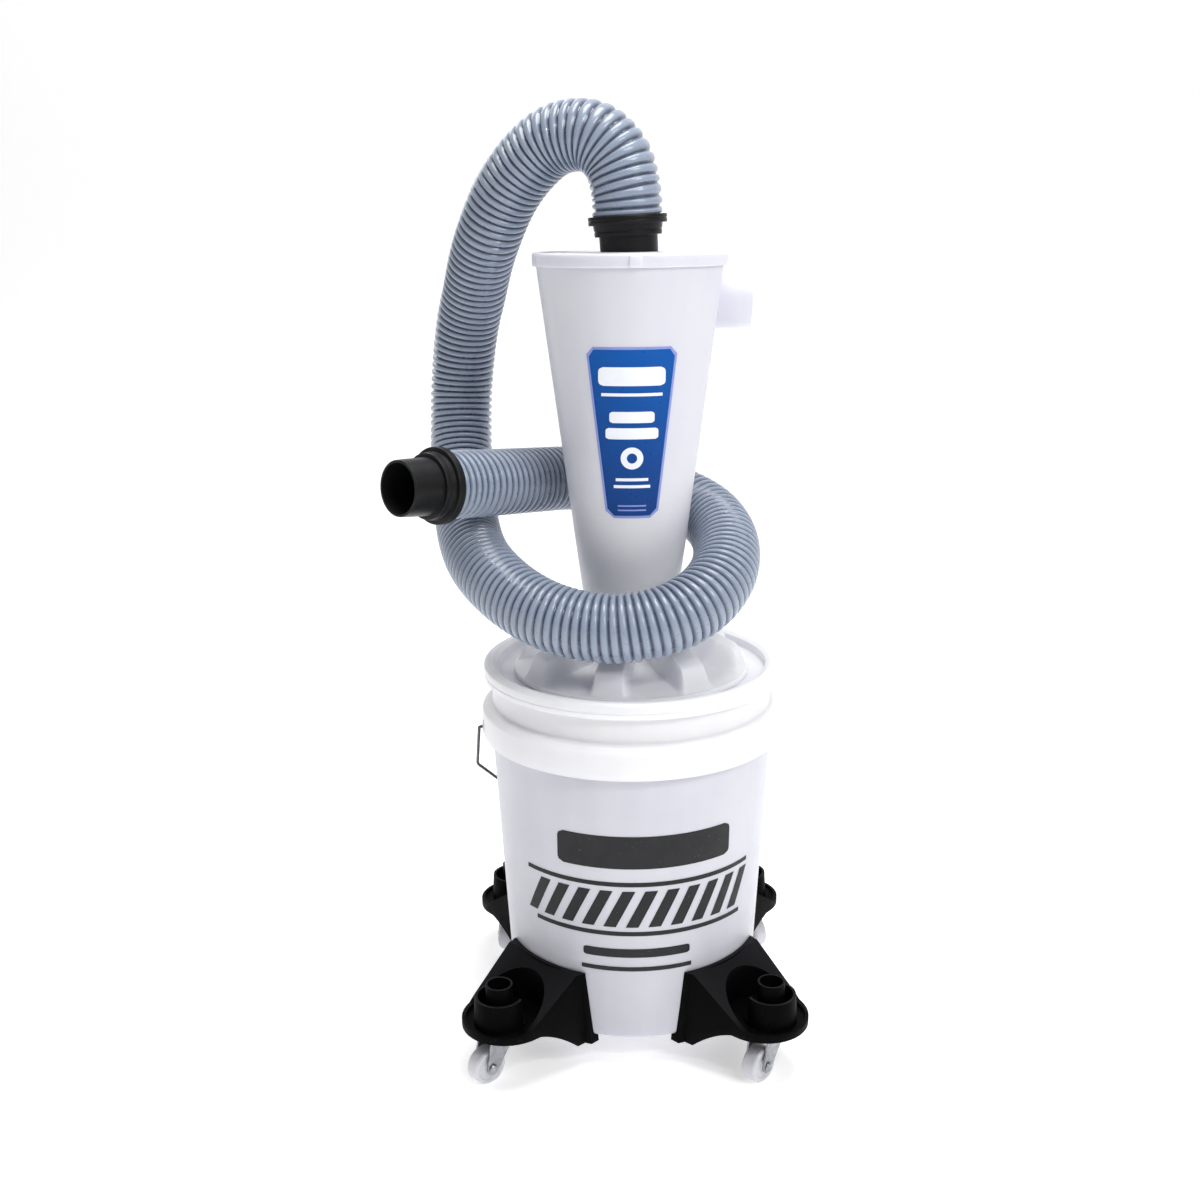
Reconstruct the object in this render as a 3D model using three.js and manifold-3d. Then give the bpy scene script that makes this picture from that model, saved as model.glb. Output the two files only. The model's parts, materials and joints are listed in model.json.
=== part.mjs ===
// A workshop dust collector: a cyclone separator bolted to the lid of a five-gallon pail on four
// caster feet, with a ribbed hose from the cyclone's outlet looped once round the cone.
// Millimetres, +Z up, +X to the right, -Y to the front. The origin is on the floor under the axis.
import * as THREE from "three";
import { mergeVertices } from "three/addons/utils/BufferGeometryUtils.js";
import Module from "manifold-3d";

const wasm = await Module();
wasm.setup();

// ---- Driving dimensions ----

const GAP = 0.3; // between pieces that touch
const WELD = 1e-3; // vertices closer than this are one
const FACETS = 32; // round the pail, lid and cyclone
const FINE = 18; // round wheels, cuffs and ports
const SMALL = 8; // round bolts, screws and pins
const degrees = (angle) => (angle * Math.PI) / 180;

const PAIL_BASE = 35; // height of the pail's base above the floor
const PAIL_BASE_R = 132.5;
const PAIL_WALL = 2.4;
const COLLAR_LOW = 332;
const COLLAR_HIGH = 365;
const COLLAR_R = 158.7;
const WALL_R_AT_COLLAR = 148.7;
const NECK_R = 147.5;
const PAIL_TOP = 404;

const LID_TOP = 410;
const LID_R = 156;
const LID_SHEET = 2.4;
const LID_PANEL = 398; // top of the sunken panel
const DISCHARGE_R = 38; // hole that the dust falls through

const FLANGE_LOW = 400;
const FLANGE_HIGH = 404;
const FLANGE_R = 124;
const FLANGE_BOLT_R = 106; // bolt circle
const FLANGE_BOLTS = 8; // one up into each lobe of the base
const BOLT_R = 3;
const BOLT_HEAD_R = 5.8;
const BOLT_HEAD = 4;
const BOLT_TIP = 414;
const LOBE_TOP = 458; // where a lobe runs out on the cone
const LOBE_NOSE = [112, 426]; // radius and height of a lobe's shoulder
const LOBE_FOOT_R = 121;
const LOBE_HALF = [18, 5]; // half widths at the foot and the crest
const FIRST_LOBE = -102.5; // azimuth of the one nearest the front

const CONE_LOW = 410;
const CONE_LOW_R = 41;
const CONE_HIGH = 812;
const CONE_HIGH_R = 92.5;
const CONE_WALL = 3;
const CONE_TOP = 823.4;

const INLET_R = 31.75;
const INLET_WALL = 3;
const INLET_Y = 54; // tangential, at the back of the cone
const INLET_Z = 780;
const INLET_END = 125;

const CAP_R = 96.6;
const CAP_LOW = 814;
const CAP_TOP = 827;
const CAP_SHEET = 3;
const SOCKET_R = 29.6;
const SOCKET_WALL = 2.6;
const SOCKET_LOW = 795;
const VORTEX_LOW = 690;
const VORTEX_HIGH = 818;
const VORTEX_WALL = 2;

const CUFF_LENGTH = 54;
const CUFF_RECESS = 47.5; // where the hose's end seats, from the mouth
const CUFF_IN_CAP = 10; // the cuff turns on this point of its spigot
const CUFF_PIVOT_Z = 817.5;
const CUFF_TILT = degrees(-3);
const FREE_MOUTH = new THREE.Vector3(-226.5, -87, 608.6);
const FREE_AXIS = new THREE.Vector3(0.685, 0.724, -0.085).normalize(); // from mouth to hose

const HOSE_R = 34;
const HOSE_BORE = 29.5;
const HOSE_SIDES = 9;
const HOSE_STEPS = 46;
// From the outlet cuff over and down on the left, once round the cone, to the free cuff.
const HOSE_ROUTE = [
  [-2, 0, 855.5],
  [-3.6, 0, 885.5],
  [-13, 5, 916],
  [-37, 15, 936],
  [-72, 32, 934],
  [-102, 49, 912],
  [-125, 66, 883],
  [-142, 85, 850],
  [-155, 107, 818],
  [-165, 129, 784],
  [-175, 147, 749],
  [-182, 159, 710],
  [-186, 162, 670],
  [-187, 153, 629],
  [-186, 134, 593],
  [-182, 105, 564],
  [-176, 71, 542],
  [-168, 34, 526],
  [-156, -3, 514],
  [-138, -38, 503],
  [-113, -69, 491],
  [-82, -94, 481],
  [-45, -110, 475],
  [-5, -116, 475],
  [35, -110, 482],
  [68, -90, 495],
  [89, -59, 510],
  [98, -21, 525],
  [96, 18, 539],
  [82, 55, 552],
  [54, 85, 563],
  [17, 100, 572],
  [-24, 99, 580],
  [-63, 83, 587],
  [-95, 54, 591],
  [-124, 22, 595],
  [-151, -8, 599],
  [-173, -30.5, 602],
  [-193.6, -52.2, 604.5],
];

const FOOT_AZIMUTHS = { rear_right: 45, rear_left: 135, front_left: -135, front_right: -45 };
const FOOT_LOW = 26; // toe under the pail
const FOOT_BASE = 57; // underside of the round end
const FOOT_FLOOR = 61; // bottom of the round recess
const FOOT_HIGH = 108; // top edge against the pail
const FOOT_END = [187, 47]; // centre and radius of the round end
const FOOT_HEEL = [126.6, 52.4]; // where each side meets the pail
const FOOT_RIM = 64; // the lip round the end
const FOOT_SLOPE = [200, 65]; // where the slope down from the pail meets that lip
const RECESS = [190, 41]; // centre and radius
const SADDLE_INNER = 127; // the saddle's lip reaches this far under the pail
const POST_X = 197; // the caster's axis, from the pail's axis
const POST_R = 14;
const POST_BORE = 12;
const POST_HIGH = 104;
const POST_FLOOR = 87;
const RING_R = 25.5;
const RING_FLARE = 2;
const RING_BORE = 22.5;
const RING_HIGH = 91;
const RING_OPEN = 10; // the ring is open towards the pail from this far behind its centre
const FOOT_SCREW_AZIMUTH = degrees(12);
const FOOT_SCREW_Z = 80;
const SCREW_R = 2;

const WHEEL_R = 19;
const WHEEL_HALF = 8.5;
const HUB_HALF = 9.7;
const TRAIL = 19; // from the swivel axis back to the axle
const AXLE_R = 3;
const FORK_INSIDE = 10.2;
const FORK_SHEET = 2;
const FORK_TOP = 50.7;
const FORK_UNDER = 48;
const KINGPIN_R = 4;
const STEM_R = 5;
const STEM_HIGH = 86;
// The way each wheel trails from its swivel, as an azimuth.
const TRAIL_AZIMUTHS = { rear_right: -58, rear_left: -110, front_left: -140, front_right: -133 };

const BAIL_YAW = degrees(8.5);
const BAIL_Z = 341;
const BAIL_HANG = degrees(42); // from straight down, resting near the pail's back
const BAIL_R = 1.7;
const BAIL_HALF = 163.2;
const BAIL_LEG = 87;
const BAIL_REACH = 227;
const BAIL_STEPS = 68;
const GRIP_HALF = 47;
const GRIP_R = 10.5;

// ---- Colours ----

const finish = (color, roughness, metalness = 0) => () =>
  new THREE.MeshStandardMaterial({ color, roughness, metalness });
const naturalPlastic = finish(0xe9e8f0, 0.4);
const blackPlastic = finish(0x1b1b1d, 0.55);
const hoseVinyl = finish(0x8f9bb2, 0.3);
const wheelNylon = finish(0xdfdfe4, 0.4);
const zincPlate = finish(0x9a9ba2, 0.35, 0.9);
const darkWire = finish(0x2c2c30, 0.4, 0.8);
const foamRubber = finish(0x3a3a3c, 0.9);

// ---- Solids ----

// A profile of [radius, height] points, anticlockwise, turned round Z.
function turned(profile, facets) {
  const points = profile.map(([radius, height]) => new THREE.Vector2(radius, height));
  if (profile[0][0] > 0) points.push(points[0].clone());
  return new THREE.LatheGeometry(points, facets).rotateX(Math.PI / 2);
}

function rod(radius, low, high, facets = SMALL) {
  const profile = [
    [0, low],
    [radius, low],
    [radius, high],
    [0, high],
  ];
  return turned(profile, facets);
}

// An outline of [x, y] points drawn up from one height to another.
function prism(outline, low, high) {
  const shape = new THREE.Shape(outline.map(([x, y]) => new THREE.Vector2(x, y)));
  const settings = { depth: high - low, bevelEnabled: false };
  return new THREE.ExtrudeGeometry(shape, settings).translate(0, 0, low);
}

// An outline of [x, z] points drawn across Y between two values of y.
function crosswise(outline, from, to) {
  return prism(outline, -to, -from).rotateX(Math.PI / 2);
}

function box(size, centre) {
  return new THREE.BoxGeometry(...size).translate(...centre);
}

function arc(centre, radius, from, to, count) {
  return Array.from({ length: count + 1 }, (_, i) => {
    const angle = from + ((to - from) * i) / count;
    return [centre[0] + radius * Math.cos(angle), centre[1] + radius * Math.sin(angle)];
  });
}

function sweep(curve, outer, inner, sides, steps) {
  const ring = (radius) =>
    arc([0, 0], radius, 0, 2 * Math.PI, sides)
      .slice(0, -1)
      .map(([x, y]) => new THREE.Vector2(x, y));
  const shape = new THREE.Shape(ring(outer));
  if (inner > 0) shape.holes.push(new THREE.Path(ring(inner).reverse()));
  return new THREE.ExtrudeGeometry(shape, { steps, extrudePath: curve, bevelEnabled: false });
}

function solid(geometry) {
  const bare = new THREE.BufferGeometry();
  bare.setAttribute("position", geometry.getAttribute("position"));
  bare.setIndex(geometry.index);
  const merged = mergeVertices(bare, WELD);
  const mesh = new wasm.Mesh({
    numProp: 3,
    vertProperties: merged.getAttribute("position").array,
    triVerts: new Uint32Array(merged.index.array),
  });
  return new wasm.Manifold(mesh);
}

// Joins the first list of geometries, then cuts the second list away.
function built(joined, cut = []) {
  const whole = joined.map(solid).reduce((sum, piece) => sum.add(piece));
  const made = cut.map(solid).reduce((sum, piece) => sum.subtract(piece), whole);
  const { vertProperties, triVerts } = made.getMesh();
  const geometry = new THREE.BufferGeometry();
  geometry.setAttribute("position", new THREE.BufferAttribute(vertProperties, 3));
  geometry.setIndex(new THREE.BufferAttribute(triVerts, 1));
  geometry.computeVertexNormals();
  return geometry;
}

function common(first, second) {
  const { vertProperties, triVerts } = solid(first).intersect(solid(second)).getMesh();
  const geometry = new THREE.BufferGeometry();
  geometry.setAttribute("position", new THREE.BufferAttribute(vertProperties, 3));
  geometry.setIndex(new THREE.BufferAttribute(triVerts, 1));
  return geometry;
}

function add(parent, name, geometry, material) {
  const mesh = new THREE.Mesh(geometry, material());
  mesh.name = name;
  parent.add(mesh);
}

function group(parent, x, y, z, turn) {
  const made = new THREE.Group();
  made.position.set(x, y, z);
  made.rotation.z = turn;
  parent.add(made);
  return made;
}

const collector = new THREE.Group();

// ---- Pail ----

const wallSlope = (WALL_R_AT_COLLAR - PAIL_BASE_R) / (COLLAR_LOW - PAIL_BASE - 3.5);
const wallRadius = (z) => PAIL_BASE_R + (z - PAIL_BASE - 3.5) * wallSlope;

function pailBody() {
  const skirt = COLLAR_R - 2.8;
  return turned(
    [
      [0, PAIL_BASE + 6],
      [126, PAIL_BASE + 6],
      [127.2, PAIL_BASE],
      [130.5, PAIL_BASE],
      [PAIL_BASE_R, PAIL_BASE + 3.5],
      [WALL_R_AT_COLLAR, COLLAR_LOW],
      [WALL_R_AT_COLLAR, COLLAR_HIGH - 8],
      [skirt, COLLAR_HIGH - 8],
      [skirt, COLLAR_LOW],
      [COLLAR_R, COLLAR_LOW],
      [COLLAR_R, COLLAR_HIGH - 6],
      [COLLAR_R - 3, COLLAR_HIGH - 1.5],
      [NECK_R, COLLAR_HIGH + 2],
      [NECK_R, PAIL_TOP - 8],
      [NECK_R + 3, PAIL_TOP - 7],
      [NECK_R + 3, PAIL_TOP],
      [NECK_R - PAIL_WALL, PAIL_TOP],
      [NECK_R - PAIL_WALL, COLLAR_HIGH],
      [WALL_R_AT_COLLAR - PAIL_WALL, COLLAR_LOW],
      [PAIL_BASE_R - PAIL_WALL, PAIL_BASE + 8.5],
      [0, PAIL_BASE + 8.5],
    ],
    FACETS,
  );
}

function radialRod(radius, from, to, azimuth, z, facets = SMALL) {
  return rod(radius, from, to, facets)
    .rotateY(Math.PI / 2)
    .rotateZ(azimuth)
    .translate(0, 0, z);
}

const screwAzimuths = Object.values(FOOT_AZIMUTHS).flatMap((azimuth) =>
  [-1, 1].map((side) => degrees(azimuth) + side * FOOT_SCREW_AZIMUTH),
);

function addPail() {
  const screwHoles = screwAzimuths.map((azimuth) =>
    radialRod(SCREW_R + 0.5, 120, 150, azimuth, FOOT_SCREW_Z),
  );
  const ears = [BAIL_YAW, BAIL_YAW + Math.PI].map((azimuth) =>
    radialRod(BAIL_R + 0.5, 152, 170, azimuth, BAIL_Z, 8),
  );
  add(collector, "pail", built([pailBody()], [...screwHoles, ...ears]), naturalPlastic);
}

// ---- Caster feet ----

// What the foot must stay clear of: the pail's outside, filled.
function pailClearance() {
  return turned(
    [
      [0, PAIL_BASE - GAP],
      [130.5 + GAP, PAIL_BASE - GAP],
      [PAIL_BASE_R + GAP, PAIL_BASE + 3.2],
      [WALL_R_AT_COLLAR + GAP, COLLAR_LOW],
      [0, COLLAR_LOW],
    ],
    FACETS,
  );
}

// A foot built along +X, pail axis at the origin.
function footBody() {
  const [endX, endR] = FOOT_END;
  const [heelX, heelY] = FOOT_HEEL;
  const toHeel = Math.atan2(heelY, heelX - endX);
  const tangent = toHeel - Math.acos(endR / Math.hypot(heelX - endX, heelY));
  const plan = [
    [110, -44],
    [heelX, -heelY],
    ...arc([endX, 0], endR, -tangent, tangent, 12),
    [heelX, heelY],
    [110, 44],
  ];
  const underArch = new THREE.QuadraticBezierCurve(
    new THREE.Vector2(136, FOOT_LOW),
    new THREE.Vector2(162, FOOT_BASE - 7),
    new THREE.Vector2(184, FOOT_BASE),
  );
  const side = [
    [117, FOOT_LOW],
    ...underArch.getPoints(4).map(({ x, y }) => [x, y]),
    [endX + endR + 6, FOOT_BASE],
    [endX + endR + 6, FOOT_RIM],
    FOOT_SLOPE,
    [137, FOOT_HIGH],
    [117, FOOT_HIGH],
  ];
  const wedge = common(prism(plan, FOOT_LOW - 5, FOOT_HIGH + 5), crosswise(side, -70, 70));
  const shell = turned(
    [
      [SADDLE_INNER, FOOT_LOW],
      [136.5, FOOT_LOW],
      [wallRadius(FOOT_HIGH) + 4.3, FOOT_HIGH],
      [SADDLE_INNER, FOOT_HIGH],
    ],
    FACETS,
  );
  const fins = [
    [-59, FOOT_LOW],
    [59, FOOT_LOW],
    [53.5, FOOT_HIGH],
    [-53.5, FOOT_HIGH],
  ];
  const band = crosswise(fins, -160, -100).rotateZ(Math.PI / 2);
  return { wedge, saddle: common(shell, band) };
}

function footGeometry() {
  const { wedge, saddle } = footBody();
  const at = (geometry, x) => geometry.translate(x, 0, 0);
  const recess = at(rod(RECESS[1], FOOT_FLOOR, 130, FINE), RECESS[0]);
  const ringProfile = [
    [0, FOOT_BASE + 1],
    [RING_R + RING_FLARE, FOOT_BASE + 1],
    [RING_R, RING_HIGH],
    [0, RING_HIGH],
  ];
  const ringBore = rod(RING_BORE, FOOT_FLOOR + 2, 130, 14);
  const ringGap = box([30, 70, 60], [-RING_OPEN - 15, 0, FOOT_FLOOR + 32]);
  const ring = at(built([turned(ringProfile, 14)], [ringBore, ringGap]), POST_X);
  const post = at(rod(POST_R, FOOT_BASE + 1, POST_HIGH, 12), POST_X);
  const postBore = at(rod(POST_BORE, POST_FLOOR, 130, 12), POST_X);
  const stemHole = at(rod(STEM_R + 2 * GAP, 40, 130), POST_X);
  const screws = [-1, 1].map((side) =>
    radialRod(SCREW_R + GAP, 120, 151, side * FOOT_SCREW_AZIMUTH, FOOT_SCREW_Z),
  );
  const shell = built([wedge, saddle], [recess]);
  return built([shell, ring, post], [postBore, stemHole, pailClearance(), ...screws]);
}

function footScrew(side) {
  const profile = [
    [0, 127.6],
    [SCREW_R + 1.5, 127.6],
    [SCREW_R + 2.5, 128.6],
    [SCREW_R + 2.5, 130.9],
    [SCREW_R, 130.9],
    [SCREW_R, 149.5],
    [0, 149.5],
  ];
  return turned(profile, SMALL)
    .rotateY(Math.PI / 2)
    .rotateZ(side * FOOT_SCREW_AZIMUTH)
    .translate(0, 0, FOOT_SCREW_Z);
}

function stemGeometry() {
  const profile = [
    [0, FORK_UNDER - 2.8],
    [KINGPIN_R + 2.4, FORK_UNDER - 2.8],
    [KINGPIN_R + 2.8, FORK_UNDER - GAP],
    [KINGPIN_R, FORK_UNDER - GAP],
    [KINGPIN_R, FORK_TOP + GAP],
    [11, FORK_TOP + GAP],
    [12.5, FORK_TOP + 2],
    [12.5, FOOT_BASE - GAP],
    [STEM_R, FOOT_BASE - GAP],
    [STEM_R, STEM_HIGH - 1],
    [STEM_R - 1, STEM_HIGH],
    [0, STEM_HIGH],
  ];
  return turned(profile, SMALL);
}

// A fork whose axle trails along +X from the swivel axis at the origin.
function forkGeometry() {
  const arm = [
    [-8, FORK_TOP],
    [-8, FORK_TOP - 6],
    ...arc([TRAIL, WHEEL_R], 7, degrees(205), degrees(385), 5),
    [19, FORK_TOP],
  ];
  const inside = FORK_INSIDE;
  const outside = FORK_INSIDE + FORK_SHEET;
  const plate = [
    ...arc([0, 0], 14, degrees(119), degrees(241), 4),
    [19, -outside],
    [19, outside],
  ];
  const axleHole = rod(AXLE_R + GAP, -30, 30)
    .rotateX(Math.PI / 2)
    .translate(TRAIL, 0, WHEEL_R);
  return built(
    [
      prism(plate, FORK_UNDER, FORK_TOP),
      crosswise(arm, inside, outside),
      crosswise(arm, -outside, -inside),
    ],
    [rod(KINGPIN_R + 0.8, 30, 60), axleHole],
  );
}

function acrossAxle(geometry) {
  return geometry.rotateX(Math.PI / 2).translate(TRAIL, 0, WHEEL_R);
}

function axleGeometry() {
  const head = FORK_INSIDE + FORK_SHEET + GAP;
  const profile = [
    [0, -head - 2],
    [AXLE_R + 1, -head - 2],
    [AXLE_R + 2, -head - 1],
    [AXLE_R + 2, -head],
    [AXLE_R, -head],
    [AXLE_R, head],
    [AXLE_R + 2, head],
    [AXLE_R + 2, head + 1],
    [AXLE_R + 1, head + 2],
    [0, head + 2],
  ];
  return acrossAxle(turned(profile, SMALL));
}

function wheelGeometry() {
  const half = [
    [AXLE_R + GAP, HUB_HALF],
    [7.2, HUB_HALF],
    [9, WHEEL_HALF],
    [WHEEL_R - 1.4, WHEEL_HALF],
    [WHEEL_R, WHEEL_HALF - 2],
  ];
  const lower = half.map(([radius, height]) => [radius, -height]);
  return acrossAxle(turned([...lower, ...half.reverse()], FINE));
}

function addFeet() {
  for (const [corner, azimuth] of Object.entries(FOOT_AZIMUTHS)) {
    const around = group(collector, 0, 0, 0, degrees(azimuth));
    add(around, `caster_foot_${corner}`, footGeometry(), blackPlastic);
    [-1, 1].forEach((side, index) =>
      add(around, `foot_screw_${corner}_${index + 1}`, footScrew(side), zincPlate),
    );
    const x = POST_X * Math.cos(degrees(azimuth));
    const y = POST_X * Math.sin(degrees(azimuth));
    const caster = group(collector, x, y, 0, degrees(TRAIL_AZIMUTHS[corner]));
    add(caster, `caster_stem_${corner}`, stemGeometry(), zincPlate);
    add(caster, `caster_fork_${corner}`, forkGeometry(), zincPlate);
    add(caster, `caster_axle_${corner}`, axleGeometry(), zincPlate);
    add(caster, `caster_wheel_${corner}`, wheelGeometry(), wheelNylon);
  }
}

// ---- Bail ----

// Straight runs between [u, w, radius] corners, each corner rounded to its radius.
function bentWire(corners, place) {
  const wire = new THREE.CurvePath();
  let from = new THREE.Vector2(...corners[0]);
  for (let i = 1; i < corners.length - 1; i += 1) {
    const here = new THREE.Vector2(...corners[i]);
    const before = new THREE.Vector2(...corners[i - 1]).sub(here).normalize();
    const after = new THREE.Vector2(...corners[i + 1]).sub(here).normalize();
    const cut = corners[i][2] / Math.tan(Math.acos(before.dot(after)) / 2);
    const first = here.clone().addScaledVector(before, cut);
    const last = here.clone().addScaledVector(after, cut);
    wire.add(new THREE.LineCurve3(place(from), place(first)));
    wire.add(new THREE.QuadraticBezierCurve3(place(first), place(here), place(last)));
    from = last;
  }
  wire.add(new THREE.LineCurve3(place(from), place(new THREE.Vector2(...corners.at(-1)))));
  return wire;
}

function bailCurve() {
  const shoulder = GRIP_HALF + 35;
  const half = [
    [152, 0, 0],
    [BAIL_HALF, 0, 3.6],
    [BAIL_HALF, BAIL_LEG, 20],
    [shoulder, BAIL_REACH, 54],
  ];
  const other = half.map(([u, w, radius]) => [-u, w, radius]).reverse();
  const hanging = ({ x, y }) =>
    new THREE.Vector3(x, y * Math.sin(BAIL_HANG), -y * Math.cos(BAIL_HANG));
  return bentWire([...half, ...other], hanging);
}

function addBail() {
  const bail = group(collector, 0, 0, BAIL_Z, BAIL_YAW);
  add(bail, "bail_wire", sweep(bailCurve(), BAIL_R, 0, 6, BAIL_STEPS), darkWire);
  const end = [
    [BAIL_R + GAP, -GRIP_HALF],
    [GRIP_R - 2, -GRIP_HALF],
    [GRIP_R, -GRIP_HALF + 4],
  ];
  const grip = turned([...end, ...end.map(([radius, x]) => [radius, -x]).reverse()], SMALL)
    .rotateY(Math.PI / 2)
    .translate(0, BAIL_REACH * Math.sin(BAIL_HANG), -BAIL_REACH * Math.cos(BAIL_HANG));
  add(bail, "bail_grip", grip, blackPlastic);
}

// ---- Lid ----

const lobeAzimuths = Array.from({ length: FLANGE_BOLTS }, (_, i) =>
  degrees(FIRST_LOBE + (360 / FLANGE_BOLTS) * i),
);
const boltSpots = lobeAzimuths.map((azimuth) => [
  FLANGE_BOLT_R * Math.cos(azimuth),
  FLANGE_BOLT_R * Math.sin(azimuth),
]);

function boltHoles(low, high) {
  return boltSpots.map(([x, y]) => rod(BOLT_R + GAP, low, high).translate(x, y, 0));
}

function addLid() {
  const plug = NECK_R - PAIL_WALL - 0.7;
  const profile = [
    [DISCHARGE_R, LID_PANEL - LID_SHEET],
    [plug, LID_PANEL - LID_SHEET],
    [plug, LID_TOP - LID_SHEET],
    [LID_R - 2.6, LID_TOP - LID_SHEET],
    [LID_R - 2.6, LID_TOP - 16],
    [LID_R, LID_TOP - 16],
    [LID_R, LID_TOP - 3],
    [LID_R - 3, LID_TOP],
    [LID_R - 9.5, LID_TOP],
    [plug - 2.4, LID_PANEL],
    [DISCHARGE_R, LID_PANEL],
  ];
  const cut = boltHoles(LID_PANEL - 10, LID_PANEL + 10);
  add(collector, "pail_lid", built([turned(profile, FACETS)], cut), naturalPlastic);
  const seal = [
    [NECK_R - 2, PAIL_TOP + GAP],
    [NECK_R + 2.5, PAIL_TOP + GAP],
    [NECK_R + 2.5, LID_TOP - LID_SHEET - GAP],
    [NECK_R - 2, LID_TOP - LID_SHEET - GAP],
  ];
  add(collector, "lid_seal", turned(seal, FACETS), foamRubber);
}

// ---- Cyclone ----

const coneSlope = (CONE_HIGH_R - CONE_LOW_R) / (CONE_HIGH - CONE_LOW);
const coneRadius = (z) => CONE_LOW_R + (z - CONE_LOW) * coneSlope;

function coneOutside() {
  return turned(
    [
      [0, FLANGE_LOW],
      [FLANGE_R, FLANGE_LOW],
      [FLANGE_R, FLANGE_HIGH],
      [54, 418],
      [coneRadius(430), 430],
      [CONE_HIGH_R, CONE_HIGH],
      [CONE_HIGH_R, CONE_TOP],
      [0, CONE_TOP],
    ],
    FACETS,
  );
}

function coneInside() {
  return turned(
    [
      [0, FLANGE_LOW - 5],
      [coneRadius(FLANGE_LOW - 5) - CONE_WALL, FLANGE_LOW - 5],
      [CONE_HIGH_R - CONE_WALL, CONE_HIGH],
      [CONE_HIGH_R - CONE_WALL, CONE_TOP + 5],
      [0, CONE_TOP + 5],
    ],
    FACETS,
  );
}

// A lobe of the base: steep at its nose, then sloping up to the cone, and narrower at its crest.
function lobe(azimuth) {
  const outline = [
    [37, FLANGE_LOW + 1],
    [LOBE_FOOT_R, FLANGE_LOW + 1],
    LOBE_NOSE,
    [coneRadius(LOBE_TOP) - 1, LOBE_TOP],
    [37, LOBE_TOP],
  ];
  const [foot, crest] = LOBE_HALF;
  const across = [
    [-foot, FLANGE_LOW],
    [foot, FLANGE_LOW],
    [crest, LOBE_TOP + 5],
    [-crest, LOBE_TOP + 5],
  ];
  const tapered = crosswise(across, -130, -30).rotateZ(Math.PI / 2);
  return common(crosswise(outline, -30, 30), tapered).rotateZ(azimuth);
}

function along(geometry) {
  return geometry.rotateY(Math.PI / 2).translate(0, INLET_Y, INLET_Z);
}

function addCyclone() {
  const inlet = along(rod(INLET_R, 0, INLET_END, FINE));
  const bore = along(rod(INLET_R - INLET_WALL, 2, INLET_END + 5, FINE));
  const cut = [coneInside(), bore, ...boltHoles(FLANGE_LOW - 5, BOLT_TIP + 1)];
  const cone = built([coneOutside(), inlet, ...lobeAzimuths.map(lobe)], cut);
  add(collector, "cyclone_cone", cone, naturalPlastic);

  const seal = [
    [46, LID_PANEL + GAP],
    [FLANGE_R - 4, LID_PANEL + GAP],
    [FLANGE_R - 4, FLANGE_LOW - GAP],
    [46, FLANGE_LOW - GAP],
  ];
  const sealHoles = boltHoles(LID_PANEL - 5, FLANGE_LOW + 5);
  add(collector, "flange_seal", built([turned(seal, 24)], sealHoles), foamRubber);

  boltSpots.forEach(([x, y], i) => {
    const under = LID_PANEL - LID_SHEET - GAP;
    const head = rod(BOLT_HEAD_R, under - BOLT_HEAD, under, 6);
    const shank = rod(BOLT_R, under - 1, BOLT_TIP, 6);
    const bolt = built([head, shank]).translate(x, y, 0);
    add(collector, `flange_bolt_${i + 1}`, bolt, zincPlate);
  });
}

function addCap() {
  const plate = CAP_TOP - CAP_SHEET;
  const profile = [
    [SOCKET_R, SOCKET_LOW],
    [SOCKET_R + SOCKET_WALL, SOCKET_LOW],
    [SOCKET_R + SOCKET_WALL, plate],
    [CONE_HIGH_R + 0.5, plate],
    [CONE_HIGH_R + 0.5, CAP_LOW],
    [CAP_R, CAP_LOW],
    [CAP_R, CAP_TOP - 1],
    [CAP_R - 1, CAP_TOP],
    [SOCKET_R, CAP_TOP],
  ];
  const tab = box([12, 4, 11], [3.5, -CAP_R, CAP_LOW + 6]);
  add(collector, "cyclone_cap", built([turned(profile, FACETS), tab]), naturalPlastic);

  const bore = SOCKET_R + SOCKET_WALL + GAP;
  const tube = [
    [bore, VORTEX_LOW],
    [bore + VORTEX_WALL, VORTEX_LOW],
    [bore + VORTEX_WALL, VORTEX_HIGH],
    [bore, VORTEX_HIGH],
  ];
  add(collector, "vortex_tube", turned(tube, FACETS), naturalPlastic);
}

// ---- Hose and its cuffs ----

// A cuff along +Z from its open mouth to the end that holds the hose.
function cuffGeometry() {
  return turned(
    [
      [25.2, 0],
      [27.7, 0],
      [28.8, 34.7],
      [33.2, 34.7],
      [34.2, 45.7],
      [38.9, 45.7],
      [38.9, CUFF_LENGTH],
      [HOSE_R + 0.9, CUFF_LENGTH],
      [HOSE_R + 0.9, CUFF_RECESS],
      [HOSE_BORE, CUFF_RECESS],
      [26, 36],
    ],
    FINE,
  );
}

function addHose() {
  const points = HOSE_ROUTE.map((point) => new THREE.Vector3(...point));
  const route = new THREE.CatmullRomCurve3(points, false, "catmullrom", 0.5);
  const tube = sweep(route, HOSE_R, HOSE_BORE, HOSE_SIDES, HOSE_STEPS);
  add(collector, "hose", tube, hoseVinyl);

  const outlet = group(collector, 0, 0, CUFF_PIVOT_Z, 0);
  outlet.rotation.y = CUFF_TILT;
  add(outlet, "outlet_cuff", cuffGeometry().translate(0, 0, -CUFF_IN_CAP), blackPlastic);

  const free = group(collector, ...FREE_MOUTH.toArray(), 0);
  free.quaternion.setFromUnitVectors(new THREE.Vector3(0, 0, 1), FREE_AXIS);
  add(free, "free_cuff", cuffGeometry(), blackPlastic);
}

addPail();
addFeet();
addBail();
addLid();
addCyclone();
addCap();
addHose();

export default collector;
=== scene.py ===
import json
import math

import bmesh
import bpy
from mathutils import Matrix, Vector


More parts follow.
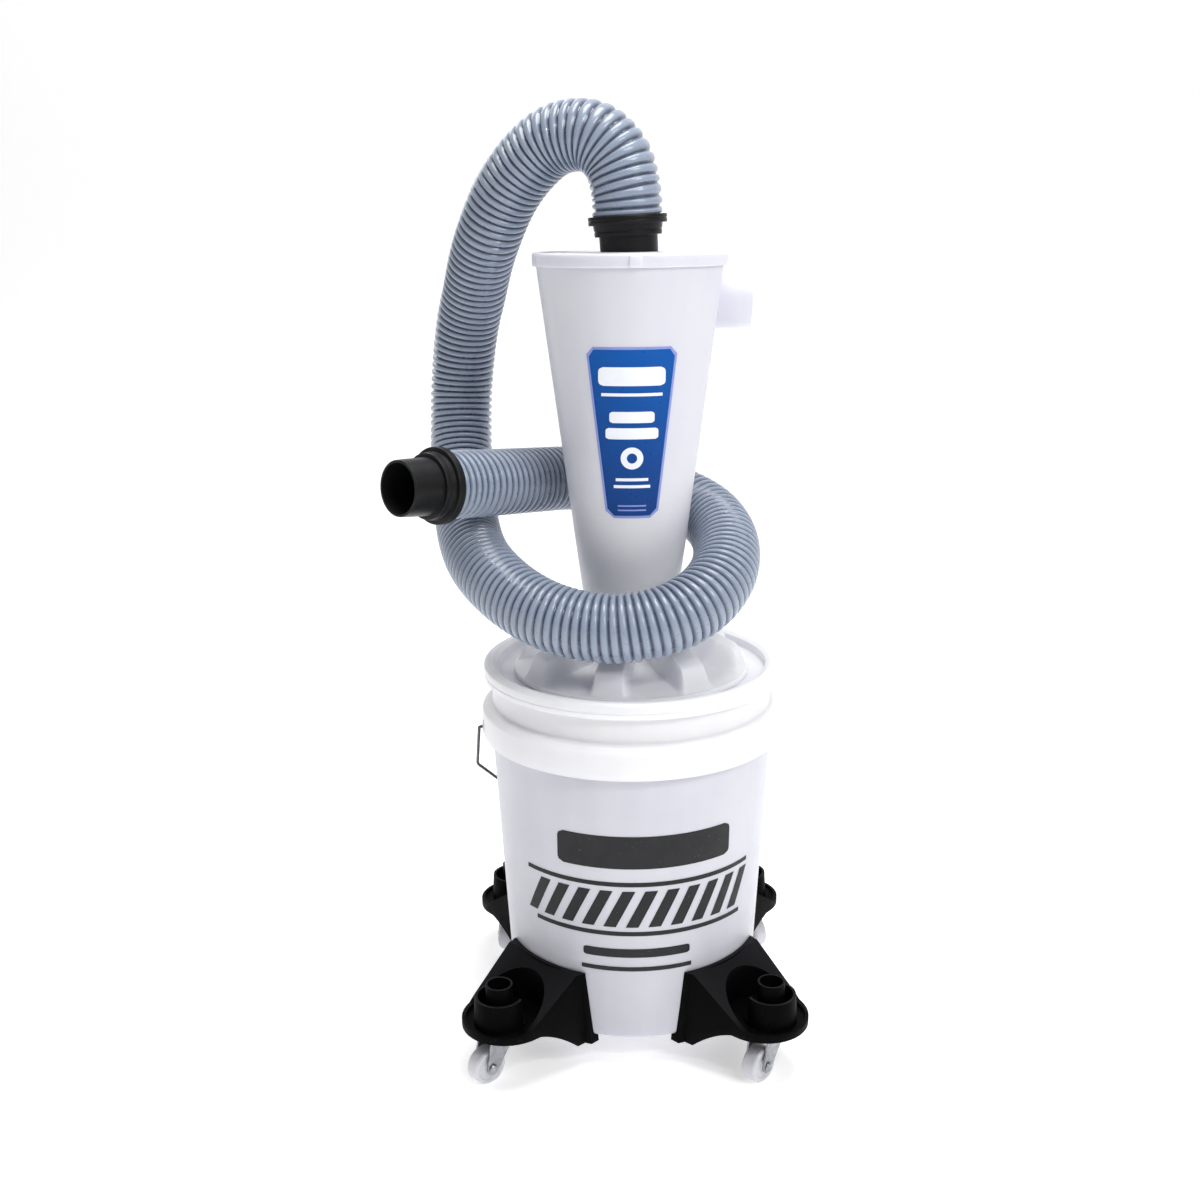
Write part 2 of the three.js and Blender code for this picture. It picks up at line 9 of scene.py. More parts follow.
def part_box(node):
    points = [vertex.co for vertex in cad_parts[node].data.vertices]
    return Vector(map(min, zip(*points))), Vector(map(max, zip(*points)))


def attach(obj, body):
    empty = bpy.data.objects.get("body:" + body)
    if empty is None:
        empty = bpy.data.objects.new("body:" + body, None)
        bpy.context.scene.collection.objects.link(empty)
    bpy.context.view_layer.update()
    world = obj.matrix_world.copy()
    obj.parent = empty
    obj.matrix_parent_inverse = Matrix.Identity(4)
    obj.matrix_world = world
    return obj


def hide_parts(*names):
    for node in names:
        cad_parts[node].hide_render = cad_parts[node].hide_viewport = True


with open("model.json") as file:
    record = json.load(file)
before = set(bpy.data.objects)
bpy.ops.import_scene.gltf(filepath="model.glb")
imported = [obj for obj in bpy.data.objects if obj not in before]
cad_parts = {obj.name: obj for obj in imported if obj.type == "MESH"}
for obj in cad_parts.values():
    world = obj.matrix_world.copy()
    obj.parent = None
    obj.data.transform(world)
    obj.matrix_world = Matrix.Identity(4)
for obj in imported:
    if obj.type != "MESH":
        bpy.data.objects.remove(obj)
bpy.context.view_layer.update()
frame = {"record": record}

MM = 0.001
RECORD = frame["record"]
JOINTS = {joint["name"]: joint for joint in RECORD["behaviour"]["joints"]}
CORNERS = {"rear_right": 45, "rear_left": 135, "front_left": -135, "front_right": -45}


# ---- Heights and radii from the CAD boxes, in millimetres ----


def low(node, axis=2):
    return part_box(node)[0][axis] / MM


def high(node, axis=2):
    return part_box(node)[1][axis] / MM


PAIL_BASE = low("pail")
PAIL_TOP = high("pail")
COLLAR_R = high("pail", 0)
LID_TOP = high("pail_lid")
LID_R = high("pail_lid", 0)
FLANGE_LOW = low("cyclone_cone")
FLANGE_R = -low("cyclone_cone", 0)
CONE_TOP = high("cyclone_cone")
INLET_END = high("cyclone_cone", 0)
CAP_TOP = high("cyclone_cap")
CAP_R = high("cyclone_cap", 0)
VORTEX_LOW = low("vortex_tube")
VORTEX_HIGH = high("vortex_tube")
VORTEX_R = high("vortex_tube", 0)


# ---- Sizes that the boxes do not give, as in part.mjs, in millimetres and degrees ----

PAIL_BASE_R = 132.5
WALL_R = 148.7  # under the collar
COLLAR_LOW = 332
COLLAR_HIGH = 365
NECK_R = 147.5
PAIL_WALL = 2.4
LID_PANEL = 398
CONE_LOW_R = 41
CONE_HIGH_R = 92.5
CONE_HIGH = 812
CONE_WALL = 3
INLET_R = 31.75
INLET_WALL = 3
INLET_Y = 54
INLET_Z = 780
BOLT_CIRCLE = 106
LOBES = 8
FIRST_LOBE = -102.5  # azimuth of the lobe nearest the front, in degrees
LOBE_TOP = 458  # where a lobe runs out on the cone
LOBE_SHOULDER_R = 111
LOBE_ROWS = 44
LOBE_HALF = 19.5  # half the width of a lobe that rises very little
LOBE_FLANK = 8  # the width over which a lobe's side comes down
PATH_STEPS = 240
RIB_PITCH = 8.0
RIB_DEPTH = 3.0
CREST_R = 34.4
HOSE_BORE = 30.4
BORE_RIB = 0.3  # the rib attribute inside, which sets the bore's colour, mostly the painted groove shade
CUFF_PIVOT = (0, 0, 817.5)
CUFF_TILT = math.radians(-3)
FREE_MOUTH = (-226.5, -87, 608.6)
FREE_AXIS = (0.685, 0.724, -0.085)
BAIL_Z = 341
BAIL_YAW = math.radians(8.5)
BAIL_HANG = math.radians(42)
BAIL_REACH = 227
BAIL_LEG = 87
BAIL_HALF = 163.2
GRIP_HALF = 47
POST_X = 197
TRAIL = 19
WHEEL_R = 19

# The hose's centreline, from the cuff on the cap to the free cuff, as in part.mjs. A solver fitted it
# to the photo. Only the first three points and the last five were set one by one.
HOSE_ROUTE = [
    (-2, 0, 855.5), (-3.6, 0, 885.5), (-13, 5, 916), (-37, 15, 936), (-72, 32, 934),
    (-102, 49, 912), (-125, 66, 883), (-142, 85, 850), (-155, 107, 818), (-165, 129, 784),
    (-175, 147, 749), (-182, 159, 710), (-186, 162, 670), (-187, 153, 629), (-186, 134, 593),
    (-182, 105, 564), (-176, 71, 542), (-168, 34, 526), (-156, -3, 514), (-138, -38, 503),
    (-113, -69, 491), (-82, -94, 481), (-45, -110, 475), (-5, -116, 475), (35, -110, 482),
    (68, -90, 495), (89, -59, 510), (98, -21, 525), (96, 18, 539), (82, 55, 552),
    (54, 85, 563), (17, 100, 572), (-24, 99, 580), (-63, 83, 587), (-95, 54, 591),
    (-124, 22, 595), (-151, -8, 599), (-173, -30.5, 602), (-193.6, -52.2, 604.5),
]

ROUND = 144  # segments round the large turned pieces


# ---- The camera ----

CAMERA_AT = Vector((-32.4, -1415.6, 853.9)) * MM
CAMERA_DOWN = 15.10
CAMERA_ROLL = 0.524
LENS = 41.86


def place_camera():
    data = bpy.data.cameras.new("camera")
    data.lens = LENS
    data.sensor_width = 36
    data.clip_end = 40
    camera = bpy.data.objects.new("camera", data)
    bpy.context.scene.collection.objects.link(camera)
    camera.matrix_world = (
        Matrix.Translation(CAMERA_AT)
        @ Matrix.Rotation(math.radians(90 - CAMERA_DOWN), 4, "X")
        @ Matrix.Rotation(math.radians(-CAMERA_ROLL), 4, "Z")
    )
    bpy.context.scene.camera = camera


place_camera()
bpy.context.scene.view_settings.view_transform = "Standard"


# ---- Materials ----


class Shader:
    """A material's node tree, built from the surface outwards."""

    def __init__(self, name):
        self.material = bpy.data.materials.new(name)
        self.material.use_nodes = True
        self.nodes = self.material.node_tree.nodes
        self.links = self.material.node_tree.links
        self.surface = self.nodes["Principled BSDF"]
        self.where = self.nodes.new("ShaderNodeTexCoord").outputs["Object"]

    def add(self, kind, **values):
        node = self.nodes.new("ShaderNode" + kind)
        for key, value in values.items():
            setattr(node, key, value)
        return node

    def feed(self, socket, value):
        if isinstance(value, bpy.types.NodeSocket):
            self.links.new(value, socket)
        elif socket.type == "RGBA" and len(value) == 3:
            socket.default_value = (*value, 1)
        else:
            socket.default_value = value

    def set(self, **inputs):
        for name, value in inputs.items():
            self.feed(self.surface.inputs[name.replace("_", " ")], value)

    def noise(self, scale, detail=3, rough=0.5, stretch=(1, 1, 1)):
        place = self.add("Mapping")
        self.feed(place.inputs["Vector"], self.where)
        self.feed(place.inputs["Scale"], stretch)
        node = self.add("TexNoise")
        self.feed(node.inputs["Vector"], place.outputs["Vector"])
        self.feed(node.inputs["Scale"], scale)
        self.feed(node.inputs["Detail"], detail)
        self.feed(node.inputs["Roughness"], rough)
        return node.outputs["Fac"]

    def fit(self, value, low, high, to_low=0.0, to_high=1.0):
        node = self.add("MapRange")
        self.feed(node.inputs["Value"], value)
        self.feed(node.inputs["From Min"], low)
        self.feed(node.inputs["From Max"], high)
        self.feed(node.inputs["To Min"], to_low)
        self.feed(node.inputs["To Max"], to_high)
        return node.outputs["Result"]

    def math(self, operation, first, second=0.0):
        node = self.add("Math", operation=operation)
        self.feed(node.inputs[0], first)
        self.feed(node.inputs[1], second)
        return node.outputs[0]

    def mix(self, factor, first, second):
        node = self.add("Mix", data_type="RGBA")
        self.feed(node.inputs[0], factor)
        self.feed(node.inputs[6], first)
        self.feed(node.inputs[7], second)
        return node.outputs[2]

    def attribute(self, name):
        return self.add("Attribute", attribute_name=name).outputs["Fac"]

    def height(self):
        node = self.add("SeparateXYZ")
        self.feed(node.inputs[0], self.where)
        return node.outputs["Z"]

    def upward(self):
        """1 where a face points straight up, 0 where it stands upright."""
        node = self.add("SeparateXYZ")
        self.feed(node.inputs[0], self.add("TexCoord").outputs["Normal"])
        return node.outputs["Z"]

    def bump(self, height, strength, distance=0.001):
        node = self.add("Bump")
        self.feed(node.inputs["Height"], height)
        self.feed(node.inputs["Strength"], strength)
        self.feed(node.inputs["Distance"], distance)
        before = self.surface.inputs["Normal"].links
        if before:
            self.feed(node.inputs["Normal"], before[0].from_socket)
        self.feed(self.surface.inputs["Normal"], node.outputs["Normal"])


def natural_plastic(name, pale, deep, lift_from, lift_to, soft=0.35, cloud=9.0, foot=1.0):
    """Unpigmented polyethylene: cloudy, with faint flow lines, and painted whiter over a band of
    heights.

    It is painted whiter from the first given height to the second, in millimetres, as painted light
    that lifts shaded parts, and is painted darker towards the floor, down to the factor foot, as painted
    shade.
    """
    s = Shader(name)
    clouds = s.noise(cloud, 4, 0.55)
    flow = s.noise(30, 2, 0.5, (1, 1, 0.06))
    tone = s.math("ADD", s.fit(clouds, 0.3, 0.7, 0, 0.7), s.fit(flow, 0.35, 0.65, 0, 0.3))
    specks = s.fit(s.noise(420, 2), 0.70, 0.78)
    # Painted light: whiter across this band of heights, lifting the shade under the pail's neck and
    # under the hose.
    painted_lift = s.fit(s.height(), lift_from * MM, lift_to * MM)
    white = s.mix(tone, (0.86, 0.86, 0.91), (0.93, 0.93, 0.96))
    colour = s.mix(painted_lift, s.mix(tone, deep, pale), white)
    # Painted shade: darker towards the floor, by the factor foot at 60 mm, fading out by 280 mm.
    colour = s.mix(s.fit(s.height(), 60 * MM, 280 * MM, foot, 1.0), (0, 0, 0), colour)
    s.set(Base_Color=s.mix(s.math("MULTIPLY", specks, 0.12), colour, (0.45, 0.45, 0.5)))
    s.set(Roughness=s.fit(s.noise(60, 4), 0.3, 0.7, 0.30, 0.46))
    s.set(Subsurface_Weight=soft, Subsurface_Radius=(0.9, 0.9, 1.0), Subsurface_Scale=0.012)
    s.set(IOR=1.5, Specular_IOR_Level=0.45)
    s.bump(s.noise(55, 3, 0.6, (1, 1, 0.35)), 0.12, 0.0006)
    s.bump(s.noise(900, 2), 0.05, 0.0002)
    return s.material


# Painted highlight: the grey that upward faces of black plastic are painted towards, as if lit from
# above.
TOP_LIGHT_GREY = (0.0125, 0.0125, 0.014)
TOP_LIGHT_HEIGHTS = (63, 76)  # painted top light only above these heights; the feet's recesses lie below the first and stay black, as they lie in shade


def black_plastic(name, shade, rough, gloss):
    """Black plastic, painted a little greyer on upward faces as a painted highlight from above."""
    s = Shader(name)
    patch = s.noise(22, 4, 0.6)
    dust = s.fit(s.noise(160, 5, 0.65), 0.60, 0.78)
    black = (shade, shade, shade * 1.08)
    worn = (shade * 2.2, shade * 2.2, shade * 2.4)
    shaded_below, lit_above = (height * MM for height in TOP_LIGHT_HEIGHTS)
    # Painted top light: upward faces above the feet's recesses are painted greyer.
    faces_up = s.fit(s.upward(), 0.5, 0.85)
    painted_top_light = s.math("MULTIPLY", faces_up, s.fit(s.height(), shaded_below, lit_above))
    colour = s.mix(painted_top_light, s.mix(patch, black, worn), TOP_LIGHT_GREY)
    s.set(Base_Color=s.mix(s.math("MULTIPLY", dust, 0.04), colour, (0.2, 0.2, 0.2)))
    s.set(Roughness=s.fit(patch, 0.3, 0.7, rough - 0.06, rough + 0.1))
    s.set(Specular_IOR_Level=gloss)
    s.bump(s.noise(1100, 2), 0.22, 0.0003)
    s.bump(s.noise(40, 3), 0.06, 0.0008)
    return s.material


def hose_vinyl(name):
    """The rib attribute is 0 in a groove and 1 on the crest of a rib."""
    s = Shader(name)
    rib = s.attribute("rib")
    crest = s.mix(s.noise(25, 3), (0.235, 0.285, 0.375), (0.285, 0.335, 0.425))
    # Painted shade: the grooves are painted far darker than the crests, standing in for the shade inside
    # them.
    groove = (0.060, 0.076, 0.118)
    s.set(Base_Color=s.mix(s.fit(rib, 0.05, 0.8), groove, crest))
    s.set(Roughness=s.fit(s.noise(140, 4), 0.3, 0.7, 0.24, 0.36))
    s.set(IOR=1.5, Specular_IOR_Level=0.5)
    s.set(Coat_Weight=0.45, Coat_Roughness=0.07)
    s.bump(s.noise(240, 3), 0.14, 0.0004)
    s.bump(s.noise(60, 2, 0.5), 0.10, 0.0012)
    return s.material


def metal(name, colour, rough, metallic=1.0, grain=(1, 1, 1)):
    s = Shader(name)
    patch = s.noise(180, 4, 0.6, grain)
    dull = tuple(value * 0.72 for value in colour)
    s.set(Base_Color=s.mix(s.fit(patch, 0.35, 0.7), colour, dull), Metallic=metallic)
    s.set(Roughness=s.fit(patch, 0.3, 0.7, rough - 0.07, rough + 0.14))
    s.bump(s.noise(700, 3, 0.6, grain), 0.10, 0.0003)
    return s.material


def nylon(name):
    s = Shader(name)
    scuffs = s.fit(s.noise(130, 5, 0.7), 0.52, 0.72)
    white = s.mix(s.noise(30, 3), (0.58, 0.58, 0.62), (0.68, 0.68, 0.72))
    s.set(Base_Color=s.mix(s.math("MULTIPLY", scuffs, 0.25), white, (0.42, 0.41, 0.40)))
    s.set(Roughness=s.fit(scuffs, 0, 1, 0.32, 0.55))
    s.set(Subsurface_Weight=0.25, Subsurface_Radius=(1, 1, 1), Subsurface_Scale=0.003)
    s.bump(s.noise(420, 3), 0.15, 0.0003)
    return s.material


def foam(name):
    s = Shader(name)
    cells = s.noise(900, 3, 0.7)
    s.set(Base_Color=s.mix(cells, (0.02, 0.02, 0.022), (0.07, 0.07, 0.075)), Roughness=0.92)
    s.bump(cells, 0.7, 0.0006)
    return s.material


def ink(name, colour, rough=0.38):
    """Printed ink: slightly uneven, with a few pinholes."""
    s = Shader(name)
    holes = s.fit(s.noise(520, 3), 0.70, 0.76)
    pale = tuple(min(1, value * 1.15 + 0.004) for value in colour)
    tone = s.mix(s.noise(35, 4), colour, pale)
    s.set(Base_Color=s.mix(s.math("MULTIPLY", holes, 0.2), tone, (0.7, 0.7, 0.74)))
    s.set(Roughness=s.fit(s.noise(90, 3), 0.3, 0.7, rough - 0.08, rough + 0.08))
    s.set(Specular_IOR_Level=0.2)
    s.bump(s.noise(800, 2), 0.06, 0.0002)
    return s.material


def sticker_film(name, top, bottom, z_low, z_high):
    """A glossy film whose colour runs from one shade at its foot to another at its head."""
    s = Shader(name)
    run = s.fit(s.height(), z_low, z_high)
    wave = s.math("ADD", run, s.fit(s.noise(18, 3), 0, 1, -0.12, 0.12))
    s.set(Base_Color=s.mix(wave, bottom, top))
    s.set(Roughness=s.fit(s.noise(120, 3), 0.3, 0.7, 0.26, 0.38), Specular_IOR_Level=0.15)
    s.bump(s.noise(50, 2), 0.05, 0.0004)
    return s.material


def floor_paint(name):
    s = Shader(name)
    tone = s.mix(s.noise(1.5, 3), (0.86, 0.86, 0.865), (0.88, 0.88, 0.885))
    s.set(Base_Color=tone, Roughness=0.6, Specular_IOR_Level=0.25)
    s.set(Emission_Color=(1, 1, 1), Emission_Strength=0.45)
    return s.material


# Painted light on the pail: whiter from the collar's foot upwards; foot paints shade towards the floor.
PAIL_PLASTIC = natural_plastic(
    "pail_plastic", (0.72, 0.72, 0.80), (0.63, 0.63, 0.715), COLLAR_LOW - 3, COLLAR_LOW + 3, foot=0.84
)
# The lid is painted in the lifted white at every height.
LID_PLASTIC = natural_plastic("lid_plastic", (0.79, 0.79, 0.86), (0.72, 0.72, 0.80), 0, 1)
# Painted light on the cone: whiter from 640 mm down to 430 mm, lifting the hose's shadow.
CONE_PLASTIC = natural_plastic(
    "cone_plastic", (0.75, 0.75, 0.835), (0.67, 0.67, 0.76), 640, 430, 0.45, 6
)
BLACK = black_plastic("black_plastic", 0.0009, 0.5, 0.035)
CUFF_BLACK = black_plastic("cuff_black", 0.004, 0.38, 0.22)
VINYL = hose_vinyl("hose_vinyl")
ZINC = metal("zinc_plate", (0.40, 0.41, 0.44), 0.36)
WIRE = metal("dark_wire", (0.11, 0.11, 0.125), 0.34, 0.9)
NYLON = nylon("wheel_nylon")
FOAM = foam("foam_rubber")
PRINT = ink("pail_print", (0.018, 0.018, 0.020), 0.5)
FILM = sticker_film("sticker_film", (0.001, 0.088, 0.38), (0.001, 0.040, 0.20), 0.57, 0.74)
PALE_FILM = ink("pale_film", (0.80, 0.82, 0.88), 0.3)
BLUE_FILM = ink("blue_film", (0.24, 0.29, 0.62), 0.3)


# ---- Geometry ----


def piece(name, verts, faces, material, body=None, stands_for=(), slot=None, smooth=True):
    mesh = bpy.data.meshes.new(name)
    mesh.from_pydata([tuple(v) for v in verts], [], faces)
    mesh.update()
    obj = bpy.data.objects.new(name, mesh)
    bpy.context.scene.collection.objects.link(obj)
    return finished(obj, material, body, stands_for, smooth)


def finished(obj, material, body=None, stands_for=(), smooth=True):
    obj.data.materials.clear()
    obj.data.materials.append(material)
    for polygon in obj.data.polygons:
        polygon.use_smooth = smooth
    if smooth:
        obj.data.set_sharp_from_angle(angle=math.radians(38))
    if body:
        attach(obj, body)
    if stands_for:
        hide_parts(*stands_for)
    return obj


def filleted(corners, closed, steps=4):
    """Corners are (radius, height) or (radius, height, fillet), in millimetres."""
    points = []
    count = len(corners)
    for i, corner in enumerate(corners):
        here = Vector(corner[:2])
        if len(corner) == 2 or (not closed and i in (0, count - 1)):
            points.append(here)
            continue
        before = Vector(corners[i - 1][:2]) - here
        after = Vector(corners[(i + 1) % count][:2]) - here
        angle = before.angle(after)
        cut = min(corner[2] / math.tan(angle / 2), before.length * 0.48, after.length * 0.48)
        first = here + before.normalized() * cut
        last = here + after.normalized() * cut
        for step in range(steps + 1):
            t = step / steps
            points.append(first * (1 - t) ** 2 + here * 2 * t * (1 - t) + last * t * t)
    return points


def lathe_mesh(corners, segments=ROUND, steps=4):
    """Vertices and faces of a profile turned round Z. It is closed unless it ends on the axis."""
    closed = corners[0][0] > 0
    profile = filleted(corners, closed, steps)
    verts, rings = [], []
    for radius, height in profile:
        if radius < 1e-9:
            rings.append([len(verts)] * segments)
            verts.append(Vector((0, 0, height * MM)))
            continue
        rings.append(list(range(len(verts), len(verts) + segments)))
        for j in range(segments):
            angle = 2 * math.pi * j / segments
            verts.append(Vector((radius * math.cos(angle), radius * math.sin(angle), height)) * MM)
    faces = []
    pairs = list(zip(rings, rings[1:] + rings[:1] if closed else rings[1:]))
    for ring, following in pairs:
        for j in range(segments):
            k = (j + 1) % segments
            face = [ring[j], ring[k], following[k], following[j]]
            face = list(dict.fromkeys(face))
            if len(face) > 2:
                faces.append(face)
    return verts, faces


def moved(verts, matrix):
    return [matrix @ v for v in verts]


def lathe(name, corners, material, body, stands_for=(), slot=None, place=None, **options):
    verts, faces = lathe_mesh(corners, **options)
    if place:
        verts = moved(verts, place)
    return piece(name, verts, faces, material, body, stands_for, slot)


def prism_mesh(outline, bottom, top):
    """An outline of (x, y) points in millimetres, anticlockwise, drawn up from bottom to top."""
    count = len(outline)
    verts = [Vector((x, y, z)) * MM for z in (bottom, top) for x, y in outline]
    faces = [[i, (i + 1) % count, count + (i + 1) % count, count + i] for i in range(count)]
    faces.append(list(range(count))[::-1])
    faces.append(list(range(count, 2 * count)))
    return verts, faces


def across_mesh(outline, start, end):
    """An outline of (x, z) points drawn along Y."""
    verts, faces = prism_mesh(outline, -end, -start)
    turn = Matrix.Rotation(math.radians(90), 4, "X")
    return moved(verts, turn), faces


def arc(centre, radius, start, end, count):
    return [
        (
            centre[0] + radius * math.cos(math.radians(start + (end - start) * i / count)),
            centre[1] + radius * math.sin(math.radians(start + (end - start) * i / count)),
        )
        for i in range(count + 1)
    ]


def loose(mesh_data):
    """A bare object that a Boolean works on."""
    verts, faces = mesh_data
    mesh = bpy.data.meshes.new("tool")
    mesh.from_pydata([tuple(v) for v in verts], [], faces)
    obj = bpy.data.objects.new("tool", mesh)
    bpy.context.scene.collection.objects.link(obj)
    return obj


def bake(obj):
    """Applies obj's modifiers."""
    graph = bpy.context.evaluated_depsgraph_get()
    made = bpy.data.meshes.new_from_object(obj.evaluated_get(graph))
    obj.modifiers.clear()
    old = obj.data
    obj.data = made
    bpy.data.meshes.remove(old)
    return obj


def combine(obj, mesh_data, operation):
    tool = mesh_data if isinstance(mesh_data, bpy.types.Object) else loose(mesh_data)
    change = obj.modifiers.new("combine", "BOOLEAN")
    change.solver = "MANIFOLD"
    change.operation = operation
    change.object = tool
    bake(obj)
    bpy.data.objects.remove(tool)
    return obj


def join(obj, mesh_data):
    return combine(obj, mesh_data, "UNION")


def cut(obj, mesh_data):
    return combine(obj, mesh_data, "DIFFERENCE")


def eased(obj, width, segments=2, angle=30):
    """Rounds every edge sharper than angle."""
    tidy = bmesh.new()
    tidy.from_mesh(obj.data)
    bmesh.ops.remove_doubles(tidy, verts=tidy.verts, dist=2e-5)
    bmesh.ops.dissolve_limit(tidy, angle_limit=math.radians(0.6), verts=tidy.verts, edges=tidy.edges)
    tidy.to_mesh(obj.data)
    tidy.free()
    bevel = obj.modifiers.new("bevel", "BEVEL")
    bevel.width = width * MM
    bevel.segments = segments
    bevel.limit_method = "ANGLE"
    bevel.angle_limit = math.radians(angle)
    bevel.use_clamp_overlap = True
    bevel.harden_normals = False
    return bake(obj)


def merged(meshes):
    verts, faces = [], []
    for more_verts, more_faces in meshes:
        start = len(verts)
        verts += more_verts
        faces += [[start + i for i in face] for face in more_faces]
    return verts, faces


def ring_frames(points):
    """A tangent and two normals at each point, without twist."""
    tangents = []
    for i in range(len(points)):
        ahead = points[min(i + 1, len(points) - 1)]
        behind = points[max(i - 1, 0)]
        tangents.append((ahead - behind).normalized())
    side = tangents[0].orthogonal().normalized()
    frames = []
    for tangent in tangents:
        side = (side - tangent * side.dot(tangent)).normalized()
        frames.append((tangent, side, tangent.cross(side)))
    return frames


def round_point(point, side, up, turn, radius):
    """A point at a turn, from 0 to 1, round a tube's centreline."""
    angle = 2 * math.pi * turn
    return point + (side * math.cos(angle) + up * math.sin(angle)) * radius


def tube_sides(rings, sides):
    faces = []
    for i in range(rings - 1):
        for j in range(sides):
            k = (j + 1) % sides
            faces.append([i * sides + j, i * sides + k, (i + 1) * sides + k, (i + 1) * sides + j])
    return faces


def tube_mesh(points, radius, sides=16):
    verts = []
    for point, (_, side, up) in zip(points, ring_frames(points)):
        verts += [round_point(point, side, up, j / sides, radius) for j in range(sides)]
    faces = tube_sides(len(points), sides)
    faces.append(list(range(sides))[::-1])
    faces.append(list(range(len(verts) - sides, len(verts))))
    return verts, faces


def even_steps(points, count):
    """Points spread evenly along a chain of points."""
    lengths = [0.0]
    for start, end in zip(points, points[1:]):
        lengths.append(lengths[-1] + (end - start).length)
    steps, i = [], 0
    for step in range(count + 1):
        want = lengths[-1] * step / count
        while i < len(points) - 2 and lengths[i + 1] < want:
            i += 1
        part = (want - lengths[i]) / (lengths[i + 1] - lengths[i])
        steps.append(points[i].lerp(points[i + 1], part))
    return steps


def about(azimuth):
    return Matrix.Rotation(math.radians(azimuth), 4, "Z")


# ---- Pail ----


def wall_radius(z):
    slope = (WALL_R - PAIL_BASE_R) / (COLLAR_LOW - PAIL_BASE - 3.5)
    return PAIL_BASE_R + (z - PAIL_BASE - 3.5) * slope


def ear_place(azimuth):
    """Turns Z into the bail's axis, pointing out of the pail at azimuth."""
    return (
        Matrix.Translation((0, 0, BAIL_Z * MM))
        @ Matrix.Rotation(BAIL_YAW + math.radians(azimuth), 4, "Z")
        @ Matrix.Rotation(math.radians(90), 4, "Y")
    )


def build_pail():
    skirt = COLLAR_R - 2.8
    corners = [
        (0, PAIL_BASE + 6),
        (126, PAIL_BASE + 6, 1.5),
        (127.2, PAIL_BASE, 0.8),
        (130.5, PAIL_BASE, 1.2),
        (PAIL_BASE_R, PAIL_BASE + 3.5, 2.5),
        (WALL_R, COLLAR_LOW),
        (WALL_R, COLLAR_HIGH - 8, 2),
        (skirt, COLLAR_HIGH - 8, 2),
        (skirt, COLLAR_LOW, 0.6),
        (COLLAR_R, COLLAR_LOW, 1.2),
        (COLLAR_R, COLLAR_HIGH - 5, 4.5),
        (COLLAR_R - 4, COLLAR_HIGH - 0.5, 3),
        (NECK_R + 0.3, COLLAR_HIGH + 2.2, 2.6),
        (NECK_R, PAIL_TOP - 8, 0.6),
        (NECK_R + 3, PAIL_TOP - 7, 1),
        (NECK_R + 3, PAIL_TOP, 1.5),
        (NECK_R - PAIL_WALL, PAIL_TOP, 0.8),
        (NECK_R - PAIL_WALL, COLLAR_HIGH),
        (WALL_R - PAIL_WALL, COLLAR_LOW),
        (PAIL_BASE_R - PAIL_WALL, PAIL_BASE + 8.5, 3),
        (0, PAIL_BASE + 8.5),
    ]
    pail = loose(lathe_mesh(corners))
    for azimuth in (0, 180):
        hole = lathe_mesh([(0, 152), (2.6, 152), (2.6, 170), (0, 170)], 24)
        cut(pail, (moved(hole[0], ear_place(azimuth)), hole[1]))
    webs = []
    for i in range(24):
        web = prism_mesh(
            [(WALL_R - 0.5, -0.8), (skirt + 0.3, -0.8), (skirt + 0.3, 0.8), (WALL_R - 0.5, 0.8)],
            COLLAR_LOW + 4, COLLAR_HIGH - 7,
        )
        webs.append((moved(web[0], about(i * 15 + 4.5)), web[1]))
    piece("pail_webs", *merged(webs), PAIL_PLASTIC, "pail_body", slot="natural_plastic", smooth=False)
    finished(pail, PAIL_PLASTIC, "pail_body", ["pail"]).name = "pail_shell"
    for i, azimuth in enumerate((0, 180)):
        boss = [(2.7, 158.2), (7, 158.2), (7, 159.7, 0.8), (2.7, 159.7, 0.5)]
        lathe(f"bail_boss_{i + 1}", boss, PAIL_PLASTIC, "pail_body", slot="natural_plastic",
              place=ear_place(azimuth), segments=32)


# ---- Printing ----


def patch(name, rows, wrap, material, body, slot, columns=24):
    """A thin printed shape. Rows are (height, left, right), and wrap lays a point on its surface."""
    verts, faces = [], []
    for height, left, right in rows:
        for j in range(columns + 1):
            verts.append(wrap(left + (right - left) * j / columns, height) * MM)
    width = columns + 1
    for i in range(len(rows) - 1):
        for j in range(columns):
            a = i * width + j
            faces.append([a, a + 1, a + width + 1, a + width])
    return piece(name, verts, faces, material, body, slot=slot)


def on_cone(radius_at, lift):
    """Lays (arc, height) on a surface of revolution, with arc 0 at the front."""

    def wrap(across, height):
        radius = radius_at(height)
        angle = across / radius
        out = radius + lift
        return Vector((out * math.sin(angle), -out * math.cos(angle), height))

    return wrap


def bar_rows(bottom, top, left, right, corner=0.0, slant=0.0, count=10):
    """The rows of a bar, with rounded corners or slanted ends."""
    rows = []
    for i in range(count + 1):
        t = i / count
        height = bottom + (top - bottom) * t
        inset = 0.0
        if corner:
            edge = min(height - bottom, top - height)
            if edge < corner:
                inset = corner - math.sqrt(max(0, corner**2 - (corner - edge) ** 2))
        shift = slant * (t - 0.5)
        rows.append((height, left + inset + shift, right - inset + shift))
    return rows


def build_print():
    wrap = on_cone(wall_radius, 0.2)

    def bar(name, *args, **options):
        patch(f"print_{name}", bar_rows(*args, **options), wrap, PRINT, "pail_body", "black_plastic")

    bar("title", 232, 268, -82, 106, corner=7, count=14)
    bar("band_top", 212, 217, -124, 138)
    for i in range(11):
        middle = -108 + i * 23
        bar(f"stripe_{i + 1}", 166, 207, middle - 6.5, middle + 6.5, slant=20, count=6)
    bar("band_bottom", 156, 161, -112, 126)
    bar("line_1", 131, 141, -54, 58, corner=3)
    bar("line_2", 115, 120, -56, 60)


def cone_radius(z):
    slope = (CONE_HIGH_R - CONE_LOW_R) / (CONE_HIGH - 410)
    return CONE_LOW_R + (z - 410) * slope


